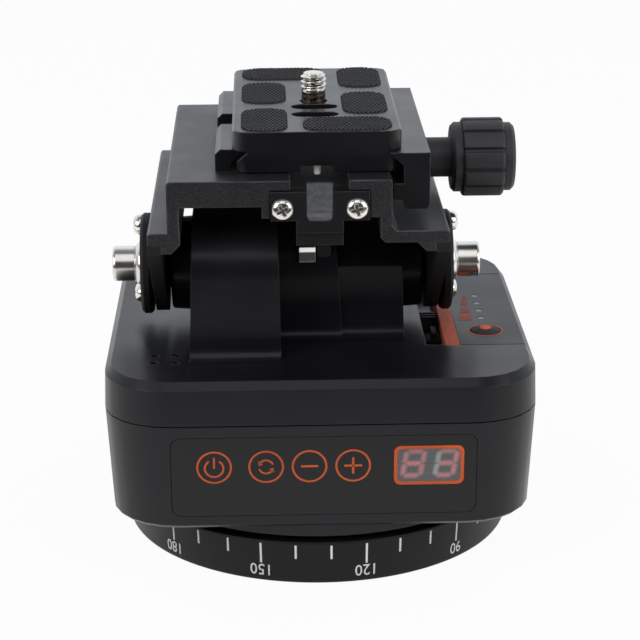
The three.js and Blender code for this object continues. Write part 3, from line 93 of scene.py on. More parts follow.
# Shader node groups


class Graph:
    """Adds and links nodes in one tree."""

    def __init__(self, tree: bpy.types.NodeTree) -> None:
        """Keeps the tree that receives the nodes."""
        self.tree = tree

    def add(self, kind: str, settings: dict | None = None, **inputs: object) -> bpy.types.Node:
        """Adds a node, sets its fields and fills its inputs.

        Args:
            kind: the node's type without the ShaderNode prefix.
            settings: fields of the node, such as its operation.
            inputs: values or sockets by input name, with _ for a blank.

        Returns:
            The new node.
        """
        node = self.tree.nodes.new("ShaderNode" + kind)
        for key, value in (settings or {}).items():
            setattr(node, key, value)
        for key, value in inputs.items():
            self.feed(node.inputs[key.replace("_", " ")], value)
        return node

    def feed(self, socket: bpy.types.NodeSocket, value: object) -> None:
        """Links a socket or sets a value.

        Args:
            socket: the input to fill.
            value: an output socket to link, or a plain value.
        """
        if isinstance(value, bpy.types.NodeSocket):
            self.tree.links.new(value, socket)
        else:
            socket.default_value = value

    def math(self, operation: str, *values: object, clamp: bool = False) -> bpy.types.NodeSocket:
        """Adds a Math node.

        Args:
            operation: the operation's name.
            values: up to three values or sockets.
            clamp: whether the result is kept from 0 to 1.

        Returns:
            The result socket.
        """
        node = self.add("Math", {"operation": operation, "use_clamp": clamp})
        for index, value in enumerate(values):
            self.feed(node.inputs[index], value)
        return node.outputs[0]

    def noise(self, vector: bpy.types.NodeSocket, scale: object, detail: float = 3.0) -> bpy.types.NodeSocket:
        """Adds a noise of some waves per metre and octaves, and gives its factor."""
        return self.add("TexNoise", Vector=vector, Scale=scale, Detail=detail).outputs[0]

    def ramp(self, value: bpy.types.NodeSocket, low: float, high: float) -> bpy.types.NodeSocket:
        """Maps a value from low..high to 0..1, smoothly and clamped.

        Args:
            value: the value to map.
            low: where the result is 0.
            high: where the result is 1.

        Returns:
            The mapped socket.
        """
        return self.add(
            "MapRange", {"interpolation_type": "SMOOTHSTEP"}, Value=value, From_Min=low, From_Max=high,
        ).outputs[0]

    def place(self) -> bpy.types.NodeSocket:
        """Gives the object coordinates, in metres."""
        return self.add("TexCoord").outputs["Object"]

    def parts(self, vector: bpy.types.NodeSocket) -> bpy.types.bpy_prop_collection:
        """Gives the X, Y and Z sockets of a vector."""
        return self.add("SeparateXYZ", Vector=vector).outputs

    def mix(self, factor: object, first: object, second: object) -> bpy.types.NodeSocket:
        """Mixes two colours.

        Args:
            factor: 0 for the first colour, 1 for the second.
            first: a colour or socket.
            second: a colour or socket.

        Returns:
            The mixed colour socket.
        """
        node = self.add("Mix", {"data_type": "RGBA"})
        self.feed(node.inputs[0], factor)
        self.feed(node.inputs[6], first)
        self.feed(node.inputs[7], second)
        return node.outputs[2]


def empty_graph(owner: bpy.types.Material | bpy.types.World) -> Graph:
    """Switches on the nodes of a material or world and removes the first ones.

    Args:
        owner: the material or world.

    Returns:
        Its empty graph.
    """
    owner.use_nodes = True
    owner.node_tree.nodes.clear()
    return Graph(owner.node_tree)


def new_group(name: str, inputs: dict[str, float], outputs: dict[str, str]) -> tuple[Graph, dict, dict]:
    """Starts a shader node group.

    Args:
        name: the group's name.
        inputs: float inputs and their defaults.
        outputs: output names and their socket kinds.

    Returns:
        The graph, its input sockets and its output sockets by name.
    """
    tree = bpy.data.node_groups.new(name, "ShaderNodeTree")
    for key, value in inputs.items():
        tree.interface.new_socket(key, in_out="INPUT", socket_type="NodeSocketFloat").default_value = value
    for key, kind in outputs.items():
        tree.interface.new_socket(key, in_out="OUTPUT", socket_type="NodeSocket" + kind)
    source = tree.nodes.new("NodeGroupInput")
    target = tree.nodes.new("NodeGroupOutput")
    sources = {key: source.outputs[key] for key in inputs}
    targets = {key: target.inputs[key] for key in outputs}
    return Graph(tree), sources, targets


def grain_group() -> bpy.types.NodeTree:
    """Fine moulded or blasted grain with slow waviness and bright grains.

    Returns:
        The group, with a Height, a Mottle and a Speckle output.
    """
    graph, given, out = new_group(
        "surface_grain", {"Scale": 3000.0, "Wave": 60.0},
        {"Height": "Float", "Mottle": "Float", "Speckle": "Float"},
    )
    place = graph.place()
    fine = graph.noise(place, given["Scale"], 2.0)
    coarse = graph.noise(place, given["Wave"], 3.0)
    graph.feed(out["Height"], graph.math("MULTIPLY_ADD", coarse, 0.6, fine))
    graph.feed(out["Mottle"], graph.ramp(coarse, 0.3, 0.7))
    graph.feed(out["Speckle"], graph.ramp(fine, 0.42, 0.66))
    return graph.tree


def edge_group() -> bpy.types.NodeTree:
    """Rounded edges, a mask of up-facing convex edges for edge wear with a painted highlight, and a mask of the
    hollows for painted shade.

    Returns:
        The group, with a Normal output, an output for the edge wear and highlight mask, and a Hollow output.
    """
    graph, given, out = new_group(
        "soft_edges", {"Break": 350.0, "Radius": 0.35 * MM},
        {"Normal": "Vector", "Wear": "Float", "Hollow": "Float"},
    )
    rounded_normal = graph.add("Bevel", {"samples": 4}, Radius=given["Radius"]).outputs[0]
    dot = graph.add("VectorMath", {"operation": "DOT_PRODUCT"})
    graph.feed(dot.inputs[0], rounded_normal)
    graph.feed(dot.inputs[1], graph.add("NewGeometry").outputs["Normal"])
    bend = graph.ramp(graph.math("SUBTRACT", 1.0, dot.outputs["Value"]), 0.015, 0.12)
    openness = graph.add("AmbientOcclusion", {"samples": 4, "only_local": True}, Distance=0.8 * MM).outputs["AO"]
    edge = graph.math("MULTIPLY", bend, graph.ramp(openness, 0.72, 0.93))
    # Only edges that face up keep the mask, so the lighter edge colour it carries is edge wear and partly a painted
    # highlight.
    upward = graph.ramp(graph.parts(rounded_normal)[2], -0.35, 0.25)
    edge = graph.math("MULTIPLY", edge, upward)
    # Where this hollows' mask is used it darkens the colour: painted shade.
    graph.feed(out["Hollow"], graph.math("SUBTRACT", 1.0, graph.ramp(openness, 0.40, 0.88)))
    broken = graph.ramp(graph.noise(graph.place(), given["Break"], 4.0), 0.35, 0.65)
    graph.feed(out["Wear"], graph.math("MULTIPLY", edge, graph.math("MULTIPLY_ADD", broken, 0.7, 0.3)))
    graph.feed(out["Normal"], rounded_normal)
    return graph.tree


def dust_group() -> bpy.types.NodeTree:
    """Sparse specks and a faint film that lie on faces that look up.

    Returns:
        The group, with a Mask output.
    """
    graph, given, out = new_group("light_dust", {"Specks": 900.0}, {"Mask": "Float"})
    place = graph.place()
    cells = graph.add("TexVoronoi", Vector=place, Scale=given["Specks"])
    size = graph.add("SeparateColor", Color=cells.outputs["Color"]).outputs[0]
    reach = graph.math("MULTIPLY", graph.math("POWER", size, 8.0), 0.22)
    speck = graph.math("LESS_THAN", cells.outputs["Distance"], reach)
    film = graph.math("MULTIPLY", graph.ramp(graph.noise(place, 45.0, 5.0), 0.45, 0.8), 0.10)
    upward = graph.ramp(graph.parts(graph.add("NewGeometry").outputs["Normal"])[2], 0.2, 0.9)
    graph.feed(out["Mask"], graph.math("MULTIPLY", graph.math("MAXIMUM", speck, film), upward, clamp=True))
    return graph.tree


def brush_group() -> bpy.types.NodeTree:
    """Fine turning or brushing lines round the X axis of the object.

    Returns:
        The group, with a Height and a Streak output.
    """
    graph, given, out = new_group(
        "tool_lines", {"Across": 9000.0, "Along": 120.0}, {"Height": "Float", "Streak": "Float"},
    )
    scales = (given["Across"], given["Along"], given["Along"])
    x, y, z = (graph.math("MULTIPLY", *pair) for pair in zip(graph.parts(graph.place()), scales))
    lines = graph.noise(graph.add("CombineXYZ", X=x, Y=y, Z=z).outputs[0], 1.0, 3.0)
    graph.feed(out["Height"], lines)
    graph.feed(out["Streak"], graph.ramp(lines, 0.35, 0.65))
    return graph.tree


def knurl_group() -> bpy.types.NodeTree:
    """A raised net of crossing diagonal ribs with a hollow cell in each mesh, on the X and Y plane.

    Returns:
        The group, with a Rib output that is 1 on the ribs and 0 in the cells.
    """
    graph, given, out = new_group(
        "diamond_net", {"Across": NET_ACROSS * MM, "Along": NET_ALONG * MM, "Rib": NET_RIB}, {"Rib": "Float"},
    )
    place = graph.parts(graph.place())
    across = graph.math("DIVIDE", place[0], given["Across"])
    along = graph.math("DIVIDE", place[1], given["Along"])
    rows = []
    for operation in ("ADD", "SUBTRACT"):
        lane = graph.math("FRACT", graph.math(operation, across, along))
        rows.append(graph.math("SUBTRACT", 0.5, graph.math("ABSOLUTE", graph.math("SUBTRACT", lane, 0.5))))
    near = graph.math("DIVIDE", graph.math("MINIMUM", *rows), given["Rib"])
    graph.feed(out["Rib"], graph.math("SUBTRACT", 1.0, graph.ramp(near, NET_FLAT, 1.0), clamp=True))
    return graph.tree


class Effects:
    """The shared node groups, each built once."""

    makers: dict[str, Callable[[], bpy.types.NodeTree]] = {
        "grain": grain_group, "edge": edge_group, "dust": dust_group, "brush": brush_group, "knurl": knurl_group,
    }
    made: dict[str, bpy.types.NodeTree] = {}

    @classmethod
    def use(cls, graph: Graph, name: str, **values: float) -> bpy.types.Node:
        """Adds a shared group to a material.

        Args:
            graph: the material's graph.
            name: the effect's key.
            values: its float inputs.

        Returns:
            The group node.
        """
        if name not in cls.made:
            cls.made[name] = cls.makers[name]()
        node = graph.add("Group")
        node.node_tree = cls.made[name]
        for key, value in values.items():
            node.inputs[key].default_value = value
        return node


# Finishes


def rgba(colour: Colour) -> tuple[float, float, float, float]:
    """Adds full opacity to a colour."""
    return (*colour, 1.0)


@dataclass(frozen=True)
class Finish:
    """A solid finish with grain, soft edges, edge wear that carries a painted highlight on up-facing edges, painted
    shade in hollows, and dust.

    Grain and wave are waves per metre. Edge is the radius of the soft edges, and matt_above the height from which
    the finish turns matt, or 0 for nowhere. The other numbers are shares.
    """

    name: str
    colour: Colour
    roughness: float
    metallic: float = 0.0
    specular: float = 0.5
    coat: float = 0.0
    grain: float = 3000.0
    depth: float = 0.03
    wave: float = 60.0
    mottle: float = 0.12
    # Edge wear and painted highlight: a lighter colour on up-facing convex edges.
    wear_and_highlight: float = 0.25
    wear_and_highlight_colour: Colour = (0.14, 0.14, 0.145)
    dust: float = 0.05
    knurl: float = 0.0
    brushed: float = 0.0
    speckle: float = 0.0
    edge: float = 0.35
    # The share of painted shade laid into the hollows.
    hollow_shade: float = 0.0
    matt_above: float = 0.0

    def material(self) -> bpy.types.Material:
        """Makes the material, or returns it if it is made already.

        Returns:
            The node material.
        """
        made = bpy.data.materials.get(self.name)
        if made is not None:
            return made
        made = bpy.data.materials.new(self.name)
        graph = empty_graph(made)
        shader = graph.add("BsdfPrincipled", Metallic=self.metallic, Coat_Weight=self.coat, Coat_Roughness=0.2)
        shader.inputs["Specular IOR Level"].default_value = self.specular
        graph.add("OutputMaterial", Surface=shader.outputs[0])
        self.wire(graph, shader)
        return made

    def wire(self, graph: Graph, shader: bpy.types.Node) -> None:
        """Links the effects to the shader.

        Args:
            graph: the material's graph.
            shader: its Principled node.
        """
        grain = Effects.use(graph, "grain", Scale=self.grain, Wave=self.wave).outputs
        edge = Effects.use(graph, "edge", Radius=self.edge * MM).outputs
        dust = Effects.use(graph, "dust").outputs["Mask"]
        dark, light = (rgba(tuple(part * (1 + sign * self.mottle) for part in self.colour)) for sign in (-1, 1))
        colour = graph.mix(grain["Mottle"], dark, light)
        height = grain["Height"]
        rough = graph.math("MULTIPLY_ADD", grain["Mottle"], self.mottle / 2, self.roughness)
        if self.brushed:
            lines = Effects.use(graph, "brush").outputs
            height = graph.math("MULTIPLY_ADD", lines["Height"], self.brushed, height)
            rough = graph.math("MULTIPLY_ADD", lines["Streak"], STREAK_ROUGHNESS, rough)
        if self.matt_above:
            rise = graph.parts(graph.place())[2]
            matt = graph.ramp(rise, self.matt_above * MM, (self.matt_above + MATT_SPAN) * MM)
            rough = graph.math("MULTIPLY_ADD", matt, MATT_ROUGHNESS, rough, clamp=True)
        if self.knurl:
            rib = Effects.use(graph, "knurl").outputs["Rib"]
            colour = graph.mix(graph.math("MULTIPLY", rib, self.knurl), dark, rgba(RIB_COLOUR))
        # Masks that mix colours in: painted shade in the hollows, bright grains, edge wear with a painted highlight
        # on up-facing edges, and dust.
        for mask, share, shade in (
            (edge["Hollow"], self.hollow_shade, HOLLOW_SHADE_COLOUR), (grain["Speckle"], self.speckle, SPECKLE_COLOUR),
            (edge["Wear"], self.wear_and_highlight, self.wear_and_highlight_colour), (dust, self.dust, DUST_COLOUR),
        ):
            if share:
                colour = graph.mix(graph.math("MULTIPLY", mask, share), colour, rgba(shade))
        graph.feed(shader.inputs["Base Color"], colour)
        graph.feed(shader.inputs["Roughness"], rough)
        bump = graph.add(
            "Bump", Height=height, Distance=BUMP_REACH * MM, Strength=self.depth * BUMP_GAIN, Normal=edge["Normal"],
        )
        graph.feed(shader.inputs["Normal"], bump.outputs[0])


@dataclass(frozen=True)
class GlowFinish(Finish):
    """A hazy window with lit and unlit bars, which are values kept at each point."""

    glow: Colour = (0.36, 0.115, 0.115)
    ground: Colour = (0.03, 0.03, 0.032)
    unlit: Colour = (0.30, 0.34, 0.30)
    haze: float = 3500.0

    def wire(self, graph: Graph, shader: bpy.types.Node) -> None:
        """Adds the lit and unlit bars to the plain finish.

        Args:
            graph: the material's graph.
            shader: its Principled node.
        """
        super().wire(graph, shader)
        lit, dull = (graph.add("Attribute", {"attribute_name": name}).outputs["Fac"] for name in ("glow", "unlit"))
        pane = shader.inputs["Base Color"].links[0].from_socket
        graph.feed(shader.inputs["Base Color"], graph.mix(dull, pane, rgba(self.unlit)))
        haze = graph.math("MULTIPLY_ADD", graph.noise(graph.place(), self.haze), 0.5, 0.75)
        light = graph.mix(graph.math("MULTIPLY", lit, haze), rgba(self.ground), rgba(self.glow))
        graph.feed(shader.inputs["Emission Color"], light)
        shader.inputs["Emission Strength"].default_value = 1.0


SHELL = Finish(
    "moulded_black", (0.0077, 0.0077, 0.0096), 0.28, specular=0.31, depth=0.012, wear_and_highlight=0.08, grain=2500.0,
    matt_above=80.0,
)
PACK = Finish("pack_black", (0.007, 0.007, 0.0078), 0.36, specular=0.38, depth=0.03, wear_and_highlight=0.08, grain=3500.0)
DIAL = Finish("dial_black", (0.0062, 0.0062, 0.0070), 0.38, specular=0.22, depth=0.02, wear_and_highlight=0.06)
FILM = Finish("overlay_black", (0.0075, 0.0066, 0.0070), 0.34, specular=0.34, depth=0.006, wear_and_highlight=0.12, grain=1500.0)
RUBBER = Finish("rubber_black", (0.007, 0.007, 0.0075), 0.60, depth=0.06, wear_and_highlight=0.2, dust=0.12)
KNURLED = Finish(
    "knurled_rubber", (0.006, 0.006, 0.0065), 0.70, specular=0.25, depth=0.02, wear_and_highlight=0.0, dust=0.02, knurl=0.5,
    edge=0.1,
)
GRAINED = Finish(
    "grained_black_metal", (0.010, 0.010, 0.011), 0.36, depth=0.22, grain=2300.0, wear_and_highlight=0.7,
    wear_and_highlight_colour=(0.20, 0.20, 0.205), speckle=0.055, edge=0.6,
)
SMOOTH = Finish(
    "satin_black_metal", (0.0075, 0.0075, 0.0085), 0.28, specular=0.45, depth=0.03, grain=4000.0, wear_and_highlight=0.6,
    wear_and_highlight_colour=(0.24, 0.24, 0.25), edge=0.4,
)
COVER = replace(SMOOTH, name="cover_black_metal", wear_and_highlight=0.15, colour=(0.010, 0.010, 0.011))
ARM = Finish("matt_black_metal", (0.0085, 0.0085, 0.0095), 0.60, specular=0.27, depth=0.04, grain=4000.0, wear_and_highlight=0.45)
KNOB = Finish("knob_black", (0.028, 0.028, 0.030), 0.50, depth=0.09, grain=3200.0, wear_and_highlight=0.15)
STEEL = Finish(
    "turned_steel", (0.66, 0.64, 0.60), 0.20, metallic=1.0, depth=0.02, wear_and_highlight=0.1, wear_and_highlight_colour=(0.8, 0.8, 0.8),
    brushed=0.8, dust=0.02,
)
POLISHED = Finish(
    "polished_steel", (0.82, 0.79, 0.74), 0.21, metallic=1.0, depth=0.004, wear_and_highlight=0.1, wear_and_highlight_colour=(0.8, 0.8, 0.8),
    dust=0.02,
)
SATIN = Finish(
    "satin_steel", (0.93, 0.92, 0.89), 0.36, metallic=0.15, depth=0.03, wear_and_highlight=0.1, wear_and_highlight_colour=(0.85, 0.85, 0.83),
    dust=0.02,
)
# Nickel and its thread take painted shade in their hollows and thread roots.
NICKEL = Finish(
    "nickel_plate", (0.86, 0.83, 0.77), 0.13, metallic=1.0, depth=0.01, wear_and_highlight=0.1, wear_and_highlight_colour=(0.85, 0.85, 0.83),
    dust=0.02, hollow_shade=0.55,
)
THREAD = replace(NICKEL, name="nickel_thread", colour=(0.84, 0.80, 0.73), hollow_shade=0.85)
# The camera screw's lower thread: a darker, browner copy of the thread finish as painted shade near the plate, and
# its edge colour paints gold glints.
THREAD_SHADE = Finish(
    "thread_painted_shade", (0.11, 0.09, 0.07), 0.24, metallic=1.0, depth=0.05, mottle=0.5, wave=1500.0, wear_and_highlight=0.5,
    wear_and_highlight_colour=(0.75, 0.66, 0.48), dust=0.02, hollow_shade=0.6,
)
BARE = Finish(
    "bare_grey_metal", (0.110, 0.114, 0.124), 0.36, metallic=0.3, depth=0.14, grain=2600.0, mottle=0.16,
    wave=900.0, wear_and_highlight=0.3, wear_and_highlight_colour=(0.35, 0.35, 0.35),
)
# Dull black: plain black plastic on the pack latch, and painted shade on the battery contact, a metal part in the
# pack's dark opening.
RECESS_BLACK = Finish("black_plastic_recess_shade", (0.006, 0.006, 0.0065), 0.62, specular=0.2, depth=0.05, wear_and_highlight=0.1, dust=0.02)
BRASS = Finish("cut_brass", (0.60, 0.42, 0.16), 0.30, metallic=1.0, depth=0.02, brushed=0.3)
NYLON = Finish("natural_nylon", (0.60, 0.57, 0.50), 0.50, depth=0.02, wear_and_highlight_colour=(0.8, 0.8, 0.78))
ORANGE = Finish(
    "orange_moulding", (0.43, 0.104, 0.060), 0.56, specular=0.12, depth=0.08, mottle=0.14, wave=700.0, wear_and_highlight=0.2,
    wear_and_highlight_colour=(0.58, 0.24, 0.16), dust=0.10,
)
PRINT = Finish("orange_print", (0.62, 0.105, 0.028), 0.55, specular=0.3, depth=0.01, wear_and_highlight=0.1)
SMALL_PRINT = Finish("dull_orange_print", (0.36, 0.062, 0.026), 0.60, specular=0.2, depth=0.01, wear_and_highlight=0.1)
WHITE = Finish("white_print", (0.80, 0.80, 0.80), 0.55, depth=0.01, wear_and_highlight=0.1, wear_and_highlight_colour=(0.5, 0.5, 0.5))
SMOKED = Finish("smoked_pane", (0.03, 0.018, 0.02), 0.12, coat=0.5, depth=0.004, wear_and_highlight=0.1)
GUIDE = Finish("light_dots", (0.36, 0.36, 0.38), 0.40, specular=0.3, depth=0.01, wear_and_highlight=0.1)
BOARD = Finish("green_lacquer", (0.015, 0.10, 0.04), 0.35, depth=0.02)
GLOW = GlowFinish("hazy_window", (0.055, 0.055, 0.058), 0.25, depth=0.004, mottle=0.15, wave=2600.0, wear_and_highlight=0.0)

NODE_FINISH: dict[str, Finish] = {
    "dial_base": DIAL, "base_pad": RUBBER, "tripod_bush": STEEL, "pan_hub": SMOOTH, "pan_bearing": STEEL,
    "pan_gear": BRASS, "hub_nut": STEEL, "lower_shell": SHELL, "upper_shell": SHELL, "control_overlay": FILM,
    "display_window": SMOKED, "display_module": SMOKED, "circuit_board": BOARD, "pan_motor": STEEL,
    "tilt_motor": STEEL, "battery_contact": RECESS_BLACK, "pan_pinion": NYLON, "tilt_pinion": NYLON,
    "bracket": GRAINED, "left_arm": ARM, "right_arm": ARM, "left_disc": ARM, "right_disc": ARM,
    "left_tilt_shaft": POLISHED, "right_tilt_shaft": POLISHED, "tilt_gear": BRASS, "channel_cover": COVER,
    "stop_tab": BARE, "fixed_jaw": SMOOTH, "moving_jaw": SMOOTH, "clamp_screw": STEEL, "knob_body": KNOB,
    "knob_grip": KNOB, "knob_cap": KNOB, "quick_release_plate": SMOOTH, "plate_stop_screw": SATIN,
    "battery_case": PACK, "battery_end_cap": ORANGE, "light_pipe": GUIDE, "lower_cell": STEEL,
    "upper_cell": STEEL, "battery_button": RUBBER, "pack_latch": RECESS_BLACK,
}


# Mesh helpers


@dataclass
class Skin:
    """Points and faces that several shapes can be added to."""

    points: list[Vector] = field(default_factory=list)
    faces: list[tuple[int, ...]] = field(default_factory=list)

    def add(self, points: Iterable[Vector], faces: Iterable[Sequence[int]]) -> None:
        """Adds one shape.

        Args:
            points: its points.
            faces: its faces, counted from its own first point.
        """
        start = len(self.points)
        self.points.extend(points)
        self.faces.extend(tuple(start + index for index in face) for face in faces)

    def plate(self, loop: Sequence[Point2], low: float, high: float, hole: Sequence[Point2] = ()) -> None:
        """Adds a flat plate with an outline, and a hole with as many points as the outline.

        Args:
            loop: the outline, anticlockwise.
            low: its underside.
            high: its top.
            hole: the hole's outline, anticlockwise and point by point beside the loop.
        """
        count = len(loop)
        points = [Vector((x, y, z)) for z in (low, high) for x, y in loop]
        faces = [(i, (i + 1) % count, (i + 1) % count + count, i + count) for i in range(count)]
        if hole:
            points += [Vector((x, y, z)) for z in (low, high) for x, y in hole]
            inner = 2 * count
            for i in range(count):
                j = (i + 1) % count
                faces.append((inner + j, inner + i, inner + i + count, inner + j + count))
                faces.append((i + count, j + count, inner + j + count, inner + i + count))
                faces.append((j, i, inner + i, inner + j))
        else:
            faces.append(tuple(range(count, 2 * count)))
            faces.append(tuple(reversed(range(count))))
        self.add(points, faces)

    def stroke(self, path: Sequence[Point2], width: float, low: float, high: float) -> None:
        """Adds a line of even width with round ends, as a plate.

        Args:
            path: the points of the line.
            width: its width.
            low: its underside.
            high: its top.
        """
        left, right = [], []
        for index, here in enumerate(path):
            before = Vector(path[max(index - 1, 0)])
            after = Vector(path[min(index + 1, len(path) - 1)])
            along = (after - before).normalized()
            across = Vector((-along.y, along.x)) * (width / 2)
            left.append(tuple(Vector(here) + across))
            right.append(tuple(Vector(here) - across))
        caps = []
        for centre, start in ((path[-1], right[-1]), (path[0], left[0])):
            base = Vector(start) - Vector(centre)
            caps.append([
                tuple(Vector(centre) + Matrix.Rotation(step * math.pi / 6, 2) @ base) for step in range(1, 6)
            ])
        self.plate(right + caps[0] + list(reversed(left)) + caps[1], low, high)

    def rings(self, rings: Sequence[Sequence[Vector]], looped: bool = False) -> None:
        """Adds a surface through rings of equal count, whose points run anticlockwise about its axis.

        Args:
            rings: the rings along the axis.
            looped: whether the last ring joins the first, or else both ends are closed flat.
        """
        count, total = len(rings[0]), len(rings)
        faces: list[tuple[int, ...]] = []
        for row in range(total if looped else total - 1):
            here, there = row * count, (row + 1) % total * count
            faces += [(here + i, here + (i + 1) % count, there + (i + 1) % count, there + i) for i in range(count)]
        if not looped:
            faces.append(tuple(reversed(range(count))))
            faces.append(tuple(range((total - 1) * count, total * count)))
        self.add([point for ring in rings for point in ring], faces)

    def moved(self, place: Callable[[Vector], Vector]) -> "Skin":
        """Carries each point to the place that a function gives, and gives this skin back."""
        self.points = [place(point) for point in self.points]
        return self


def within(value: float, low: float = 0.0, high: float = 1.0) -> float:
    """Keeps a value between two limits."""
    return min(max(value, low), high)


def eased(value: float) -> float:
    """Keeps a value from 0 to 1 and smooths both ends."""
    share = within(value)
    return share * share * (3 - 2 * share)


def full_turn(count: int) -> list[float]:
    """Gives evenly spaced angles round a circle."""
    return [2 * math.pi * index / count for index in range(count)]


def arc(x: float, y: float, radius: float, angles: Iterable[float]) -> list[Point2]:
    """Gives the points of a circle about x and y at some angles."""
    return [(x + radius * math.cos(angle), y + radius * math.sin(angle)) for angle in angles]


def circle(x: float, y: float, radius: float, count: int = 48) -> list[Point2]:
    """Gives the points of a whole circle, anticlockwise."""
    return arc(x, y, radius, full_turn(count))


def rounded(left: float, right: float, low: float, high: float, radius: float, steps: int = 6) -> list[Point2]:
    """Gives the points of a rectangle with round corners.

    Args:
        left: its left edge.
        right: its right edge.
        low: its lower edge.
        high: its upper edge.
        radius: its corners' radius.
        steps: segments at each corner.

    Returns:
        The points, anticlockwise.
    """
    corners = (
        (right - radius, high - radius, 0), (left + radius, high - radius, 1),
        (left + radius, low + radius, 2), (right - radius, low + radius, 3),
    )
    points: list[Point2] = []
    for x, y, quarter in corners:
        points += arc(x, y, radius, [(quarter + i / steps) * math.pi / 2 for i in range(steps + 1)])
    return points


def sheet_faces(columns: int, rows: int) -> list[tuple[int, ...]]:
    """Gives the faces of a sheet of points that are counted row by row.

    Args:
        columns: faces across.
        rows: faces up.

    Returns:
        The faces, anticlockwise.
    """
    width = columns + 1
    corners = [row * width + column for row in range(rows) for column in range(columns)]
    return [(foot, foot + 1, foot + width + 1, foot + width) for foot in corners]


def even_loop(loop: Sequence[Point2], step: float) -> list[Point2]:
    """Spaces points evenly along an outline.

    Args:
        loop: the outline.
        step: about how far apart the points are.

    Returns:
        The new points.
    """
    ends = list(zip(loop, [*loop[1:], loop[0]]))
    lengths = [math.dist(a, b) for a, b in ends]
    count = round(sum(lengths) / step)
    gap = sum(lengths) / count
    points, behind, edge = [], 0.0, 0
    for index in range(count):
        while index * gap - behind > lengths[edge]:
            behind += lengths[edge]
            edge += 1
        (ax, ay), (bx, by) = ends[edge]
        share = (index * gap - behind) / lengths[edge]
        points.append((ax + (bx - ax) * share, ay + (by - ay) * share))
    return points


def net(x: float, y: float) -> float:
    """Gives the rise of the pads' moulded net at a place, as the knurled finish draws it.

    Args:
        x: the place in millimetres.
        y: the place in millimetres.

    Returns:
        1 on a rib and 0 in a cell.
    """
    near = min(
        0.5 - abs((x / NET_ACROSS + side * y / NET_ALONG) % 1.0 - 0.5) for side in (1, -1)
    ) / NET_RIB
    return 1 - eased((near - NET_FLAT) / (1 - NET_FLAT))


def aimed(skin: Skin, foot: Vector, axis: Vector) -> Skin:
    """Turns a skin that is drawn upwards so that it runs from its foot along an axis."""
    turn = Vector((0, 0, 1)).rotation_difference(axis).to_matrix()
    return skin.moved(lambda point: foot + turn @ point)


def add_object(name: str, data: bpy.types.ID | None) -> bpy.types.Object:
    """Makes an object and links it to the scene.

    Args:
        name: its name.
        data: its mesh, curve, lamp or camera.

    Returns:
        The object.
    """
    made = bpy.data.objects.new(name, data)
    bpy.context.scene.collection.objects.link(made)
    return made


def make_object(name: str, skin: Skin, finish: Finish, body: Body, smooth: float = 0.0) -> bpy.types.Object:
    """Makes an object from a skin in millimetres, dresses it and sets it on its body.

    Args:
        name: the object's name.
        skin: its points and faces.
        finish: its finish.
        body: the body it rides on.
        smooth: the angle in degrees up to which edges are shaded smoothly.

    Returns:
        The object.
    """
    mesh = bpy.data.meshes.new(name)
    mesh.from_pydata([point * MM for point in skin.points], [], skin.faces)
    mesh.validate()
    if smooth:
        mesh.shade_smooth()
        mesh.set_sharp_from_angle(angle=math.radians(smooth))
    piece = add_object(name, mesh)
    mesh.materials.append(finish.material())
    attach(piece, body.value)
    log.info("made %s with %d faces", name, len(mesh.polygons))
    return piece


def stand_in(
    node: str, name: str, skin: Skin, finish: Finish, body: Body, smooth: float = SOFT_ANGLE,
) -> bpy.types.Object:
    """Makes an object that takes the place of a CAD node.

    Args:
        node: the node that it replaces.
        name: the object's name.
        skin: its points and faces.
        finish: its finish.
        body: the body it rides on.
        smooth: the angle in degrees up to which edges are shaded smoothly.

    Returns:
        The object.
    """
    piece = make_object(name, skin, finish, body, smooth)
    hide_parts(node)
    return piece


def lathe(profile: Sequence[Point2], count: int = 48) -> Skin:
    """Turns a profile that starts and ends on the axis about Z.

    Args:
        profile: pairs of radius and height.
        count: segments round the axis.

    Returns:
        The closed skin.
    """
    inner = profile[1:-1]
    points = [Vector((x, y, height)) for radius, height in inner for x, y in circle(0, 0, radius, count)]
    low, high = len(points), len(points) + 1
    points += [Vector((0, 0, profile[0][1])), Vector((0, 0, profile[-1][1]))]
    faces: list[tuple[int, ...]] = []
    for i in range(count):
        j = (i + 1) % count
        for row in range(len(inner) - 1):
            here, there = row * count, (row + 1) * count
            faces.append((here + i, here + j, there + j, there + i))
        last = (len(inner) - 1) * count
        faces += [(low, j, i), (high, last + i, last + j)]
    return Skin(points, faces)


def carve(base: Skin, tools: Sequence[Skin]) -> Skin:
    """Cuts closed skins out of a closed skin.

    Args:
        base: what is cut.
        tools: what is taken away.

    Returns:
        The remaining skin.
    """
    parts = []
    for skin in (base, *tools):
        mesh = bpy.data.meshes.new("carving")
        mesh.from_pydata(skin.points, [], skin.faces)
        parts.append(add_object("carving", mesh))
    for tool in parts[1:]:
        step = parts[0].modifiers.new("cut", "BOOLEAN")
        step.operation, step.solver, step.object = "DIFFERENCE", "EXACT", tool
    shaped = parts[0].evaluated_get(bpy.context.evaluated_depsgraph_get())
    result = Skin(
        [vertex.co.copy() for vertex in shaped.data.vertices],
        [tuple(face.vertices) for face in shaped.data.polygons],
    )
    for part in parts:
        mesh = part.data
        bpy.data.objects.remove(part)
        bpy.data.meshes.remove(mesh)
    return result


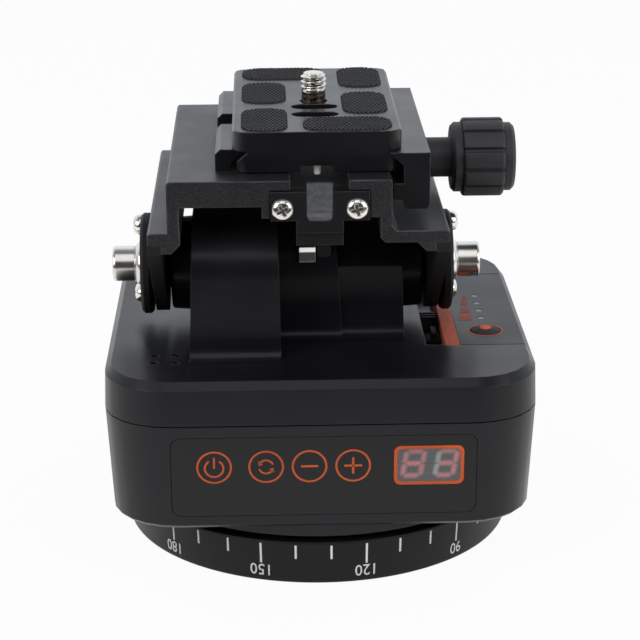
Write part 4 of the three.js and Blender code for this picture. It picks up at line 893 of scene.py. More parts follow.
def text_skin(words: str, size: float, low: float, high: float) -> Skin:
    """Gives plain numerals as a thin plate centred on the origin.

    Args:
        words: the numerals.
        size: the letter size.
        low: the plate's underside.
        high: the plate's top.

    Returns:
        The skin.
    """
    curve = bpy.data.curves.new("numeral", "FONT")
    curve.body, curve.size, curve.resolution_u = words, size, 3
    curve.align_x = curve.align_y = "CENTER"
    curve.extrude = (high - low) / 2
    curve.offset = size * NUMERAL_SWELLING
    source = add_object("numeral", curve)
    mesh = bpy.data.meshes.new_from_object(source.evaluated_get(bpy.context.evaluated_depsgraph_get()))
    middle = (high + low) / 2
    skin = Skin(
        [vertex.co + Vector((0, 0, middle)) for vertex in mesh.vertices],
        [tuple(face.vertices) for face in mesh.polygons],
    )
    bpy.data.objects.remove(source)
    bpy.data.curves.remove(curve)
    bpy.data.meshes.remove(mesh)
    return skin


def round_corners(profile: Sequence[tuple[float, float, float]], steps: int = 4) -> list[Point2]:
    """Rounds the corners of a closed profile.

    Args:
        profile: its corners, each with the length that is taken off along both sides.
        steps: segments at each round corner.

    Returns:
        The points of the rounded profile.
    """
    points: list[Point2] = []
    for index, (x, y, cut) in enumerate(profile):
        here = Vector((x, y))
        if cut <= 0:
            points.append((x, y))
            continue
        back = (Vector(profile[index - 1][:2]) - here).normalized()
        ahead = (Vector(profile[(index + 1) % len(profile)][:2]) - here).normalized()
        start, end = here + back * cut, here + ahead * cut
        points.append(tuple(start + back * SUPPORT))
        for step in range(steps + 1):
            t = step / steps
            points.append(tuple(start * (1 - t) ** 2 + here * (2 * t * (1 - t)) + end * t ** 2))
        points.append(tuple(end + ahead * SUPPORT))
    return points


def corners_of(node: str) -> tuple[Vector, Vector]:
    """Gives the lowest and highest corner of a CAD node's box, in millimetres."""
    low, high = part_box(node)
    return low / MM, high / MM


def middle_of(node: str) -> Vector:
    """Gives the middle of a CAD node's box, in millimetres."""
    low, high = corners_of(node)
    return (low + high) / 2


# Sub-assemblies


@dataclass
class DialScale:
    """The white degree scale printed round the dial's wall."""

    foot_radius: float = 50.0
    rim_radius: float = 50.6
    height: float = 11.3
    first_angle: float = 132.3
    short: tuple[float, float] = (6.75, 10.45)
    long: tuple[float, float] = (5.05, 10.45)
    width: float = 0.55
    text_middle: float = 3.3
    text_size: float = 4.25
    text_width: float = 0.94
    mark_step: int = 10
    numeral_step: int = 30
    lift: float = 0.04

    def wall(self, azimuth: float) -> Callable[[Vector], Vector]:
        """Gives the way from a flat drawing to the wall.

        Args:
            azimuth: degrees from -Y towards +X.

        Returns:
            A function of a point whose X runs round the wall, Y up it and Z out of it.
        """
        def place(point: Vector) -> Vector:
            """Carries a point of the drawing to the wall."""
            radius = self.foot_radius + (self.rim_radius - self.foot_radius) * point.y / self.height + point.z
            angle = math.radians(azimuth) + point.x / self.rim_radius
            return Vector((radius * math.sin(angle), -radius * math.cos(angle), point.y))
        return place

    def build(self) -> None:
        """Prints the marks and the numerals."""
        marks, numerals = Skin(), Skin()
        half = self.width / 2
        for value in range(0, 360, self.mark_step):
            wall = self.wall(self.first_angle - value)
            numbered = value % self.numeral_step == 0
            low, high = self.long if numbered else self.short
            mark = Skin()
            mark.plate([(-half, low), (half, low), (half, high), (-half, high)], -self.lift, self.lift)
            marks.add(mark.moved(wall).points, mark.faces)
            if numbered:
                text = text_skin(str(value), self.text_size, -self.lift, self.lift)
                text.moved(lambda p: Vector((-p.x * self.text_width, self.text_middle - p.y, p.z)))
                numerals.add(text.moved(wall).points, text.faces)
        make_object("dial_marks", marks, WHITE, Body.BASE)
        make_object("dial_numerals", numerals, WHITE, Body.BASE)


@dataclass
class FrontPanel:
    """The print on the control overlay, and the lit figures of the display.

    The display has its left, right, low and high edge. A figure has half its width, half its height and its lean,
    and figures are the two figures' shifts across and their shift up.
    """

    half: float = 53.0
    seam: float = 43.2
    draft: float = math.atan(1.36 / 27.1)
    ring_height: float = 32.45
    rings: tuple[float, ...] = (-26.2, -13.7, -3.25, 7.25)
    ring_radius: float = 4.3
    ring_width: float = 0.5
    line: float = 0.5
    bold: float = 0.575
    power_radius: float = 2.25
    power_gap: float = 38.0
    arrow_radius: float = 1.75
    arrow_head: float = 0.8
    minus_half: float = 1.85
    plus_half: float = 1.95
    lift: float = 0.03
    frame_width: float = 0.95
    frame_gap: float = 0.06
    display: tuple[float, float, float, float] = (17.0, 34.1, 27.0, 37.5)
    corner: float = 1.7
    figure_half: tuple[float, float, float] = (2.15, 3.2, 0.17)
    figures: tuple[float, float, float] = (-3.75, 4.1, 0.5)
    bar_reach: float = 0.95
    bar_fade: float = 0.75
    columns: int = 110
    rows: int = 64

    def place(self, point: Vector) -> Vector:
        """Carries a drawing's point to the sloping front wall.

        Args:
            point: X across, Y up the wall and Z out of it.

        Returns:
            The point on the object.
        """
        down = point.y - self.seam
        sine, cosine = math.sin(self.draft), math.cos(self.draft)
        front = -self.half - down * sine - point.z * cosine
        return Vector((point.x, front, self.seam + down * cosine - point.z * sine))

    def symbols(self) -> Skin:
        """Draws the rings and the sign inside each.

        Returns:
            The skin of the print.
        """
        skin = Skin()
        low, high, y = -self.lift, self.lift, self.ring_height
        for x in self.rings:
            skin.plate(circle(x, y, self.ring_radius), low, high, circle(x, y, self.ring_radius - self.ring_width))
        power, cycle, minus, plus = self.rings
        gap = math.radians(self.power_gap)
        sweep = [math.pi / 2 + gap + i / 20 * (2 * math.pi - 2 * gap) for i in range(21)]
        skin.stroke(arc(power, y - 0.25, self.power_radius, sweep), self.line, low, high)
        skin.stroke([(power, y - 0.1), (power, y + 2.45)], self.line, low, high)
        for turn in (0.0, math.pi):
            bow = [turn + math.radians(25 + 6.5 * i) for i in range(19)]
            skin.stroke(arc(cycle, y, self.arrow_radius, bow), self.line, low, high)
            base, tip = bow[-1] - math.radians(2), bow[-1] + math.radians(30)
            head = ((self.arrow_head, base), (0.0, tip), (-self.arrow_head, base))
            skin.plate([arc(cycle, y, self.arrow_radius + rise, [angle])[0] for rise, angle in head], low, high)
        for path in (
            [(minus - self.minus_half, y), (minus + self.minus_half, y)],
            [(plus - self.plus_half, y), (plus + self.plus_half, y)],
            [(plus, y - self.plus_half), (plus, y + self.plus_half)],
        ):
            skin.stroke(path, self.bold, low, high)
        return skin

    def figure(self, x: float, y: float, on: Sequence[float]) -> Callable[[float, float], float]:
        """Gives the strength of one figure of seven bars.

        Args:
            x: the figure's centre.
            y: the figure's centre.
            on: the strength of its bars: top, upper right, lower right, bottom, lower left, upper left, middle.

        Returns:
            A function of a place that gives the strength there.
        """
        wide, tall, lean = self.figure_half
        ends = (
            ((-wide, tall), (wide, tall)), ((wide, tall), (wide, 0)), ((wide, 0), (wide, -tall)),
            ((-wide, -tall), (wide, -tall)), ((-wide, 0), (-wide, -tall)), ((-wide, tall), (-wide, 0)),
            ((-wide, 0), (wide, 0)),
        )

        def light(px: float, py: float) -> float:
            """Gives the strength at a place of the window."""
            here = Vector((px - x - lean * (py - y), py - y))
            best = 0.0
            for power, (a, b) in zip(on, ends):
                start, along = Vector(a), Vector(b) - Vector(a)
                share = within((here - start).dot(along) / along.length_squared, 0.22, 0.78)
                away = (here - start - along * share).length
                best = max(best, power * within((self.bar_reach - away) / self.bar_fade))
            return best
        return light

    def build(self) -> None:
        """Prints the overlay and lights the display."""
        make_object("panel_print", self.symbols().moved(self.place), PRINT, Body.HEAD)
        left, right, low, high = self.display
        inset, rim = self.frame_width, self.frame_gap
        edge = Skin()
        edge.plate(
            rounded(left + rim, right - rim, low + rim, high - rim, self.corner), -self.lift, self.lift,
            rounded(left + inset, right - inset, low + inset, high - inset, self.corner - 0.55),
        )
        make_object("display_border", edge.moved(self.place), PRINT, Body.HEAD)
        left, right, low, high = left + inset, right - inset, low + inset, high - inset
        middle = (low + high) / 2 + self.figures[2]
        first, second = ((left + right) / 2 + shift for shift in self.figures[:2])
        lit = (
            self.figure(first, middle, (0.55, 0.75, 0.75, 0.85, 0.85, 0.75, 0.9)),
            self.figure(second, middle, (0.6, 0.9, 0.9, 0.85, 0.0, 0.0, 0.9)),
        )
        dull = self.figure(second, middle, (0.0, 0.0, 0.0, 0.0, 0.8, 0.75, 0.0))
        spots = [
            (left + (right - left) * column / self.columns, low + (high - low) * row / self.rows)
            for row in range(self.rows + 1) for column in range(self.columns + 1)
        ]
        points = [self.place(Vector((x, y, self.lift / 2))) for x, y in spots]
        pane = make_object("display_figures", Skin(points, sheet_faces(self.columns, self.rows)), GLOW, Body.HEAD)
        strengths = {
            "glow": [max(light(x, y) for light in lit) for x, y in spots],
            "unlit": [dull(x, y) for x, y in spots],
        }
        for name, values in strengths.items():
            pane.data.attributes.new(name, "FLOAT", "POINT").data.foreach_set("value", values)


@dataclass
class PackTop:
    """The print on the battery pack's top: ring, charge marks and the dot on the button.

    The ring has its two radii, the peak its corners, and each bar its left and right edge, its base and its lean.
    """

    top: float = 54.1
    lift: float = 0.03
    ring: tuple[float, float] = (4.45, 4.08)
    peak: tuple[Point2, ...] = ((38.7, 7.7), (39.75, 7.7), (39.75, 11.7))
    bars: tuple[tuple[float, float, float, float], ...] = (
        (37.9, 39.75, 2.7, 0.6), (37.1, 39.7, -3.5, 0.7), (36.3, 39.8, -9.4, 0.75),
    )
    bar_depth: float = 3.9
    dot: tuple[Point2, ...] = ((0, -0.3), (1.5, -0.3), (1.5, -0.05), (1.25, 0.02), (0, 0.05))

    def build(self) -> None:
        """Prints the pack and the button."""
        button = middle_of("battery_button")
        low, high = self.top - self.lift, self.top + self.lift
        outer, inner = (circle(button.x, button.y, radius) for radius in self.ring)
        ring, marks = Skin(), Skin()
        ring.plate(outer, low, high, inner)
        make_object("button_ring", ring, PRINT, Body.PACK)
        marks.plate(self.peak, low, high)
        for left, right, base, lean in self.bars:
            end = base + self.bar_depth
            marks.plate([(left, base), (right, base), (right, end), (left + lean, end)], low, high)
        make_object("charge_marks", marks, SMALL_PRINT, Body.PACK)
        seat = Vector((button.x, button.y, corners_of("battery_button")[1].z - 0.02))
        dot = lathe(self.dot, 32).moved(lambda point: point + seat)
        make_object("button_dot", dot, PRINT, Body.BUTTON, smooth=SOFT_ANGLE)


@dataclass
class PanScrew:
    """A pan head screw with a cross recess, drawn upwards from its seat.

    Lengths are shares of the head's radius, the dome's second numbers and slot_depth shares of its rise. Proud is in
    millimetres and raises the side screws only.
    """

    node: str
    body: Body
    outwards: tuple[float, float, float]
    turn: float = 0.0
    spread: float = 1.05
    proud: float = 0.4
    shank: float = 0.56
    front_rise: float = 0.62
    side_rise: float = 0.76
    slot_half: float = 0.15
    slot_reach: float = 0.62
    slot_depth: float = 0.62
    slot_ends: tuple[float, float] = (0.55, 1.1)
    dome: tuple[Point2, ...] = (
        (1.0, 0.10), (0.995, 0.24), (0.965, 0.42), (0.91, 0.59), (0.83, 0.74), (0.72, 0.86), (0.52, 0.95),
        (0.28, 1.0),
    )

    def build(self) -> None:
        """Makes the screw in the place of its CAD node."""
        low, high = corners_of(self.node)
        axis = Vector(self.outwards)
        depth = abs((high - low).dot(axis))
        sideways = abs(axis.x) > 0.5
        proud = self.proud if sideways else 0.0
        length = depth + proud
        radius = (high - low).z / 2 * self.spread
        rise = radius * self.side_rise + proud if sideways else radius * self.front_rise
        shank, seat = radius * self.shank, length - rise
        profile = [(0, 0.0), (shank, 0.0), (shank, seat), (radius * 0.97, seat)]
        profile += [(radius * reach, seat + rise * lift) for reach, lift in self.dome]
        profile.append((0, length))
        foot, top = length - rise * self.slot_depth, length + 0.5
        slots = [self.slot(radius, foot, top, angle + self.turn) for angle in (0.0, math.pi / 2)]
        skin = aimed(carve(lathe(profile, 40), slots), (low + high) / 2 - axis * (depth / 2), axis)
        stand_in(self.node, self.node + "_head", skin, NICKEL, self.body)

    def slot(self, radius: float, foot: float, top: float, angle: float) -> Skin:
        """Gives one slot of the cross recess, as the tool that cuts it.

        Args:
            radius: the head's radius.
            foot: the slot's floor.
            top: the tool's top, above the head.
            angle: its turn in radians.

        Returns:
            The closed skin.
        """
        spin = Matrix.Rotation(angle, 3, "Z")
        reach, half = radius * self.slot_reach, radius * self.slot_half
        corners, tool = ((-1, -1), (1, -1), (1, 1), (-1, 1)), Skin()
        tool.rings([
            [spin @ Vector((x * reach * size, y * half * size, z)) for x, y in corners]
            for z, size in zip((foot, top), self.slot_ends)
        ])
        return tool


@dataclass
class CameraScrew:
    """The threaded camera screw with its round tip, in the place of its plain CAD node."""

    radius: float = 3.175
    shank: float = 2.9
    pitch: float = 1.27
    depth: float = 0.72
    thread_length: float = 3.8
    foot_length: float = 7.2
    bright_length: float = 4.9
    head_height: float = 2.0
    rows_a_pitch: int = 10
    tip: tuple[Point2, ...] = ((2.6, 0.42), (2.45, 0.18), (2.15, 0.05), (1.6, 0.0))
    columns: int = 48

    def build(self) -> None:
        """Makes the screw."""
        low, high = corners_of("camera_screw")
        centre = (low + high) / 2
        head = (high.x - low.x) / 2
        start, end = high.z - self.foot_length, high.z - self.tip[0][1]
        neck = low.z + self.head_height
        rows = [(low.z, self.round(head)), (neck, self.round(head)), (neck + 0.02, self.round(self.shank))]
        steps = int((end - start) / (self.pitch / self.rows_a_pitch))
        for index in range(steps + 1):
            z = start + (end - start) * index / steps
            rows.append((z, self.crest(z, end)))
        rows += [(high.z - drop, self.round(radius)) for radius, drop in self.tip[1:]]
        skin, turns = Skin(), full_turn(self.columns)
        skin.rings([
            [centre.xy.to_3d() + Vector((reach(a) * math.cos(a), reach(a) * math.sin(a), z)) for a in turns]
            for z, reach in rows
        ])
        piece = stand_in("camera_screw", "camera_screw_thread", skin, THREAD, Body.CAMERA_SCREW)
        # Faces more than bright_length below the top take the darker copy: painted shade near the plate.
        piece.data.materials.append(THREAD_SHADE.material())
        for face in piece.data.polygons:
            face.material_index = int(face.center.z < (high.z - self.bright_length) * MM)

    @staticmethod
    def round(radius: float) -> Callable[[float], float]:
        """Gives an even reach all round."""
        return lambda angle: radius

    def crest(self, z: float, end: float) -> Callable[[float], float]:
        """Gives the thread's radius round the screw at one height. Its foot is rolled shallow.

        Args:
            z: the height.
            end: where the thread ends.

        Returns:
            A function of the angle.
        """
        foot = end + self.tip[0][1] - self.thread_length
        full = within((z - foot) / 0.4 + 0.5, 0.06)
        crest = self.radius - (1 - full) * 0.2
        fade = min(full, max((end - z) / 0.3, 0.0))

        def reach(angle: float) -> float:
            """Gives the radius at an angle."""
            phase = (z / self.pitch - angle / (2 * math.pi)) % 1.0
            wave = within(abs(phase * 2 - 1) * 1.6 - 0.3)
            return crest - self.depth * (full - fade * wave)
        return reach


@dataclass
class PlateStop:
    """The plate's stop pin, which narrows towards its free end, in the place of its CAD node."""

    free: float = 0.80
    held: float = 1.03
    taper: float = 2.7
    bevel: float = 0.15

    def build(self) -> None:
        """Makes the pin."""
        low, high = corners_of("plate_stop_screw")
        foot, length = Vector(((low.x + high.x) / 2, (low.y + high.y) / 2, low.z)), high.z - low.z
        profile = [
            (0, 0), (self.free - self.bevel, 0), (self.free, self.bevel), (self.held - 0.05, self.taper - 0.3),
            (self.held, self.taper), (self.held, length), (0, length),
        ]
        skin = lathe(profile, 40).moved(lambda point: point + foot)
        stand_in("plate_stop_screw", "plate_stop_pin", skin, SATIN, Body.PLATE)


@dataclass
class LimitCatch:
    """A small bent leaf and a stop beside it on the middle drum, under the tail of the bracket's cover.

    The leaf starts with its left and right end, and its corners follow as Y and Z. The stop has its left, right, low
    and high edge and its corners' radius.
    """

    leaf: tuple[Point2, ...] = (
        (-4.85, -0.65), (-20.3, 74.1), (-21.45, 74.1), (-21.12, 76.6), (-21.25, 77.95), (-18.0, 77.95),
    )
    edge: float = 0.12
    stop: tuple[float, float, float, float, float] = (-0.25, 3.15, 75.0, 79.0, 1.15)
    stop_front: float = -20.6
    stop_depth: float = 2.6

    def build(self) -> None:
        """Makes the leaf and the stop."""
        (left, right), *side = self.leaf
        middle = sum((Vector(corner) for corner in side), Vector((0, 0))) / len(side)
        inward = [(middle - Vector(corner)).normalized() for corner in side]
        ends = ((left, self.edge), (left + self.edge, 0.0), (right - self.edge, 0.0), (right, self.edge))
        skin = Skin()
        skin.rings([
            [Vector((x, *(Vector(corner) + way * inset))) for corner, way in zip(side, inward)] for x, inset in ends
        ])
        make_object("limit_catch_leaf", skin, NICKEL, Body.HEAD)
        block = Skin()
        block.plate(rounded(*self.stop, 5), 0.0, 1.0)
        block.moved(lambda p: Vector((p.x, self.stop_front + (1 - p.z) * self.stop_depth, p.y)))
        make_object("limit_catch_stop", block, SHELL, Body.HEAD)


@dataclass
class DialBase:
    """The dial's drum with round edges, in the place of its CAD node, which has fewer sides."""

    profile: tuple[tuple[float, float, float], ...] = (
        (8.05, 0.0, 0.0), (20.0, 0.0, 0.0), (20.0, 1.2, 0.0), (44.0, 1.2, 0.0), (44.0, 0.0, 0.0),
        (50.0, 0.0, 0.7), (50.6, 11.3, 0.6), (40.0, 11.3, 0.5), (40.0, 4.2, 0.6), (8.05, 4.2, 0.0),
    )
    sides: int = 216

    def build(self) -> None:
        """Makes the drum."""
        loops = [(circle(0, 0, radius, self.sides), z) for radius, z in round_corners(self.profile)]
        skin = Skin()
        skin.rings([[Vector((x, y, z)) for x, y in loop] for loop, z in loops], looped=True)
        stand_in("dial_base", "dial_drum", skin, DIAL, Body.BASE)


@dataclass
class TiltShaft:
    """A polished tilt shaft with a bevelled flange, in the place of its plain CAD node."""

    side: str
    radius: float = 4.5
    proud: float = 6.0
    flange: float = 1.4
    bevel: float = 0.75
    edge: float = 0.6

    def build(self) -> None:
        """Makes the shaft."""
        node = f"{self.side}_tilt_shaft"
        low, high = corners_of(node)
        axis = Vector((-1.0 if self.side == "left" else 1.0, 0, 0))
        length, rim = high.x - low.x, (high.z - low.z) / 2
        face, radius, bevel, edge = length - self.proud, self.radius, self.bevel, self.edge
        seat, waist = face - self.flange, radius - 0.12
        profile = [
            (0, 0), (radius, 0), (radius, seat), (rim, seat), (rim, seat + 0.25),
            (rim - bevel * 0.35, face - bevel * 0.75), (rim - bevel, face), (waist, face), (waist, face + 0.3),
            (radius, face + 0.42), (radius, face + 0.7), (radius, length - edge - 0.25), (radius, length - edge),
            (radius - edge * 0.3, length - edge * 0.3), (radius - edge, length), (0, length),
        ]
        skin = aimed(lathe(profile, 72), (low + high) / 2 - axis * (length / 2), axis)
        stand_in(node, node + "_turned", skin, POLISHED, Body.BRACKET, smooth=28.0)


@dataclass
class KnobGrip:
    """The knob's lobed grip with round edges, in the place of its CAD node.

    Valley, flank and turn are shares of the lobes' pitch.
    """

    lobes: int = 12
    depth: float = 0.9
    valley: float = 0.13
    flank: float = 0.07
    turn: float = 0.142
    bore: float = 6.65
    fillet: float = 0.75
    columns: int = 480

    def lift(self, angle: float) -> float:
        """Gives the rise of the lobes round the axis.

        Args:
            angle: the angle from +Y towards +Z.

        Returns:
            0 in a valley and 1 on a lobe.
        """
        phase = (angle / (2 * math.pi) * self.lobes - self.turn) % 1.0
        return eased(min(phase - self.valley, 1 - phase) / self.flank)

    def build(self) -> None:
        """Makes the grip."""
        low, high = corners_of("knob_grip")
        centre = (low + high) / 2
        crown = (high.z - low.z) / 2
        turns = full_turn(self.columns)
        reach = [crown - self.depth * (1 - self.lift(angle)) for angle in turns]
        bends = [math.radians(step) for step in (0, 22, 45, 68, 90)]
        ends = [(self.fillet * (1 - math.cos(a)), self.fillet * (1 - math.sin(a))) for a in bends]
        ends.append((self.fillet + SUPPORT, 0.0))
        rows = [(low.x + along, drop) for along, drop in ends]
        rows += [(high.x - along, drop) for along, drop in reversed(ends)]
        skin, bore = Skin(), [self.bore] * self.columns
        loops = [(low.x, bore), *((x, [radius - drop for radius in reach]) for x, drop in rows), (high.x, bore)]
        skin.rings([
            [self.spot(centre, x, radius, angle) for radius, angle in zip(radii, turns)]
            for x, radii in loops
        ], looped=True)
        stand_in("knob_grip", "knob_grip_lobes", skin, KNOB, Body.KNOB, smooth=40.0)

    @staticmethod
    def spot(centre: Vector, x: float, radius: float, angle: float) -> Vector:
        """Gives a point at a place along the knob, at a radius and an angle."""
        return Vector((x, centre.y + radius * math.cos(angle), centre.z + radius * math.sin(angle)))


@dataclass
class StopTab:
    """The bare stop tab with its curled foot, in the place of its plain CAD node."""

    corner: float = 1.4
    lip: float = 0.5
    columns: int = 24
    rows: int = 40

    def build(self) -> None:
        """Makes the tab."""
        low, high = corners_of("stop_tab")
        half, middle = (high.x - low.x) / 2, (high.x + low.x) / 2
        points: list[Vector] = []
        for side in (0, 1):
            for row in range(self.rows + 1):
                for column in range(self.columns + 1):
                    across = -1 + 2 * column / self.columns
                    x = half * across
                    over = max(abs(x) - (half - self.corner), 0.0)
                    foot = low.z + self.corner - math.sqrt(max(self.corner ** 2 - over ** 2, 0.0))
                    z = foot + (high.z - foot) * (row / self.rows) ** 1.3
                    front = low.y + self.lip + self.face(z - low.z, across)
                    points.append(Vector((middle + x, high.y if side else front, z)))
        width, back = self.columns + 1, len(points) // 2
        faces = sheet_faces(self.columns, self.rows)
        faces += [tuple(back + index for index in reversed(face)) for face in faces]
        border = [*range(width), *(r * width + width - 1 for r in range(1, self.rows + 1))]
        border += [self.rows * width + c for c in reversed(range(width - 1))]
        border += [r * width for r in reversed(range(1, self.rows))]
        faces += [(b, a, back + a, back + b) for a, b in zip(border, [*border[1:], border[0]])]
        stand_in("stop_tab", "stop_tab_curled", Skin(points, faces), BARE, Body.BRACKET, smooth=40.0)

    def face(self, height: float, across: float) -> float:
        """Gives how far the front lies behind the lip.

        Args:
            height: the height over the foot.
            across: the place across, from -1 to 1.

        Returns:
            The depth in millimetres, below 0 on the lip.
        """
        curl = math.exp(-((height - 0.8) / 0.6) ** 2)
        hollow = math.exp(-((height - 2.1) / 0.8) ** 2) * (0.6 + 0.4 * across)
        return -self.lip * curl + 0.35 * hollow + 0.10 * math.cos(across * 2.6) * min(height / 4, 1.0)


@dataclass
class RubberPad:
    """A rubber pad with its moulded net, in the place of its plain CAD node."""

    node: str
    corner: float = 4.4
    relief: float = 0.26
    step: float = 0.2
    loops: int = 40
    edge: float = 0.12

    def build(self) -> None:
        """Makes the pad."""
        low, high = corners_of(self.node)
        middle = (low + high) / 2
        loop = even_loop(rounded(low.x, high.x, low.y, high.y, self.corner, 12), self.step)
        rings = [[Vector((x, y, low.z)) for x, y in loop]]
        for index in range(self.loops):
            share = 1 - index / self.loops
            drop = self.edge if index == 0 else 0.0
            ring = []
            for x, y in loop:
                here = Vector((middle.x + (x - middle.x) * share, middle.y + (y - middle.y) * share, 0))
                here.z = high.z - drop - self.relief * (1 - net(here.x, here.y))
                ring.append(here)
            rings.append(ring)
        skin = Skin()
        skin.rings(rings)
        stand_in(self.node, self.node + "_net", skin, KNURLED, Body.PLATE, smooth=60.0)


@dataclass
class CadPieces:
    """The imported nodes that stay, each with its finish and smooth shading."""

    angle: float = 28.0

    def smoother(self) -> bpy.types.NodeTree:
        """Makes the modifier that joins split points and shades by angle.

        Returns:
            The geometry node tree.
        """
        tree = bpy.data.node_groups.new("shade_by_angle", "GeometryNodeTree")
        tree.interface.new_socket("Geometry", in_out="INPUT", socket_type="NodeSocketGeometry")
        tree.interface.new_socket("Geometry", in_out="OUTPUT", socket_type="NodeSocketGeometry")
        names = (
            "NodeGroupInput", "GeometryNodeRemoveAttribute", "GeometryNodeMergeByDistance",
            "GeometryNodeSetShadeSmooth", "GeometryNodeSetShadeSmooth", "NodeGroupOutput",
        )
        chain = [tree.nodes.new(name) for name in names]
        chain[1].inputs["Name"].default_value = "custom_normal"
        chain[2].inputs["Distance"].default_value = 0.002 * MM
        chain[4].domain = "EDGE"
        chain[4].inputs["Shade Smooth"].default_value = False
        for first, second in zip(chain, chain[1:]):
            target = second.inputs["Geometry"] if "Geometry" in second.inputs else second.inputs[0]
            source = first.outputs["Geometry"] if "Geometry" in first.outputs else first.outputs[0]
            tree.links.new(source, target)
        edge = tree.nodes.new("GeometryNodeInputMeshEdgeAngle")
        test = tree.nodes.new("FunctionNodeCompare")
        test.operation = "GREATER_THAN"
        test.inputs[1].default_value = math.radians(self.angle)
        tree.links.new(edge.outputs["Unsigned Angle"], test.inputs[0])
        tree.links.new(test.outputs[0], chain[4].inputs["Selection"])
        return tree

    def build(self) -> None:
        """Dresses each imported node with its finish from the table, or a default, and smooth shading."""
        tree = self.smoother()
        for name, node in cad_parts.items():
            finish = NODE_FINISH.get(name)
            if finish is None:
                finish = KNURLED if name.endswith("_pad") else STEEL
            node.data.materials.clear()
            node.data.materials.append(finish.material())
            node.modifiers.new("shade", "NODES").node_group = tree
            log.info("dressed %s with %s", name, finish.name)


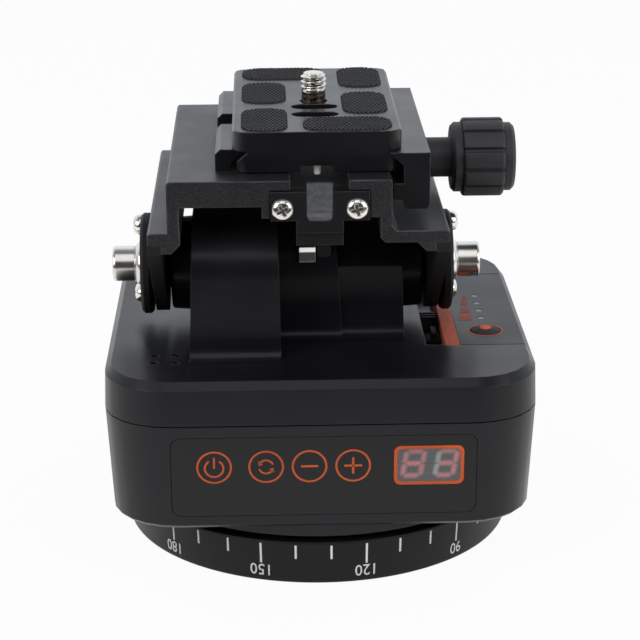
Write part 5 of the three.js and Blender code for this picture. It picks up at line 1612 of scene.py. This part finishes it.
@dataclass
class Studio:
    """The camera at the photograph's angle, a pale floor, a white surround and three soft lamps.

    The camera's place is in millimetres, its focal length in pixels of the frame and its angles in degrees. The
    floor's and the lamps' sizes and places are in metres, and the lamps' power is in watts. The surround turns white
    over back_ramp along Y and darker by roof_shade over roof_ramp along Z.
    """

    position: tuple[float, float, float] = (-13.317, -516.603, 229.656)
    yaw: float = 1.5762
    pitch: float = 19.0183
    roll: float = -0.3213
    focal: float = 2091.91
    frame_pixels: float = 640.0
    sensor: float = 36.0
    floor_front: float = -0.230
    floor_reach: float = 3.0
    floor_colour: Colour = (0.88, 0.88, 0.88)
    floor_glow: float = 0.95
    back_ramp: tuple[float, float] = (-0.5, 0.3)
    roof_ramp: tuple[float, float] = (0.72, 0.97)
    roof_shade: float = 0.8
    dark_side: float = 0.05
    sky_colour: Colour = (0.90, 0.945, 1.0)
    lamp_colour: Colour = (0.965, 0.96, 1.0)
    lamp_aim: tuple[float, float, float] = (0.0, 0.0, 0.06)
    lamps: tuple[tuple[str, tuple[float, float, float], float, float, float], ...] = (
        ("key_lamp", (-0.85, -0.75, 0.60), 0.8, 0.8, 6.5),
        ("fill_lamp", (0.85, -0.65, 0.50), 0.8, 0.8, 5.1),
        ("top_lamp", (0.0, -0.66, 0.98), 0.75, 1.0, 2.5),
    )

    def camera(self) -> None:
        """Sets up the camera."""
        data = bpy.data.cameras.new("camera")
        data.sensor_width = self.sensor
        data.lens = self.focal / self.frame_pixels * data.sensor_width
        data.clip_start, data.clip_end = 0.01, 20.0
        camera = add_object("camera", data)
        camera.location = Vector(self.position) * MM
        yaw, pitch, roll = (math.radians(value) for value in (self.yaw, self.pitch, self.roll))
        right = Vector((math.cos(yaw), -math.sin(yaw), 0))
        ahead = Vector((math.sin(yaw) * math.cos(pitch), math.cos(yaw) * math.cos(pitch), -math.sin(pitch)))
        up = right.cross(ahead)
        side = math.cos(roll) * right + math.sin(roll) * up
        top = -math.sin(roll) * right + math.cos(roll) * up
        camera.rotation_euler = Matrix((side, top, -ahead)).transposed().to_euler()
        bpy.context.scene.camera = camera

    def floor(self) -> None:
        """Lays the floor, which looks white and still takes a soft shadow. It ends in front of the object."""
        mesh = bpy.data.meshes.new("floor")
        reach, front = self.floor_reach, self.floor_front
        corners = [(-reach, front, 0), (reach, front, 0), (reach, reach, 0), (-reach, reach, 0)]
        mesh.from_pydata(corners, [], [(0, 1, 2, 3)])
        floor = add_object("floor", mesh)
        floor.location.z = -0.0001
        material = bpy.data.materials.new("pale_floor")
        graph = empty_graph(material)
        matt = graph.add("BsdfDiffuse", Color=rgba(self.floor_colour))
        plain = graph.add("Emission", Color=rgba(PURE_WHITE), Strength=1.0)
        blend = graph.add("MixShader")
        sight = self.seen(graph, "Camera", "Glossy", "Transmission")
        values = (graph.math("MULTIPLY", sight, self.floor_glow), matt.outputs[0], plain.outputs[0])
        for socket, value in zip(blend.inputs, values):
            graph.feed(socket, value)
        graph.add("OutputMaterial", Surface=blend.outputs[0])
        mesh.materials.append(material)

    @staticmethod
    def seen(graph: Graph, *kinds: str) -> bpy.types.NodeSocket:
        """Gives 1 where a ray is of one of some kinds.

        Args:
            graph: the graph of the floor or the world.
            kinds: the kinds of ray.

        Returns:
            The socket.
        """
        path = graph.add("LightPath")
        sight, *others = (path.outputs[f"Is {kind} Ray"] for kind in kinds)
        for other in others:
            sight = graph.math("MAXIMUM", sight, other)
        return sight

    def surround(self) -> None:
        """Makes the world: white behind the object and to the sides, dark on the side of the camera."""
        world = bpy.data.worlds.new("studio")
        graph = empty_graph(world)
        way = graph.parts(graph.add("TexCoord").outputs["Generated"])
        back = graph.ramp(way[1], *self.back_ramp)
        overhead = graph.math("MULTIPLY_ADD", graph.ramp(way[2], *self.roof_ramp), -self.roof_shade, 1.0)
        white = graph.math("MULTIPLY", back, overhead)
        level = graph.math("MULTIPLY_ADD", white, 1 - self.dark_side, self.dark_side)
        mirrored = graph.math("MULTIPLY", self.seen(graph, "Glossy"), white)
        sight = self.seen(graph, "Camera", "Transmission")
        power = graph.math("MAXIMUM", graph.math("MAXIMUM", level, mirrored), sight)
        colour = graph.mix(sight, rgba(self.sky_colour), rgba(PURE_WHITE))
        light = graph.add("Background", Color=colour, Strength=power)
        graph.add("OutputWorld", Surface=light.outputs[0])
        bpy.context.scene.world = world

    def lamp(self, name: str, place: Sequence[float], width: float, height: float, power: float) -> None:
        """Hangs a soft lamp that looks at the object.

        Args:
            name: the lamp's name.
            place: its place in metres.
            width: its level side in metres.
            height: its other side in metres.
            power: its power in watts.
        """
        data = bpy.data.lights.new(name, "AREA")
        data.shape = "RECTANGLE"
        data.size, data.size_y = width, height
        data.energy, data.color = power, self.lamp_colour
        lamp = add_object(name, data)
        lamp.location = place
        lamp.rotation_euler = (Vector(self.lamp_aim) - Vector(place)).to_track_quat("-Z", "Y").to_euler()

    def build(self) -> None:
        """Sets up camera, floor, surround and lamps."""
        self.camera()
        self.floor()
        self.surround()
        for lamp in self.lamps:
            self.lamp(*lamp)
        bpy.context.scene.view_settings.view_transform = "Standard"


def main() -> None:
    """Builds the scene in order and logs each piece."""
    logging.basicConfig(level=logging.INFO, format="%(message)s")
    for maker in (
        Studio, CadPieces, DialScale, FrontPanel, PackTop, CameraScrew, PlateStop, LimitCatch, DialBase, KnobGrip,
        StopTab,
    ):
        maker().build()
    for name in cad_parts:
        if name.endswith("_pad") and name != "base_pad":
            RubberPad(name).build()
    for side, out, turn in (("left", (-1, 0, 0), 0.5), ("right", (1, 0, 0), 0.25)):
        TiltShaft(side).build()
        PanScrew(f"{side}_cover_screw", Body.BRACKET, (0, -1, 0), turn).build()
        for level in ("upper", "lower"):
            PanScrew(f"{side}_{level}_disc_screw", Body.BRACKET, out, 0.3).build()


if __name__ == "__main__":
    main()
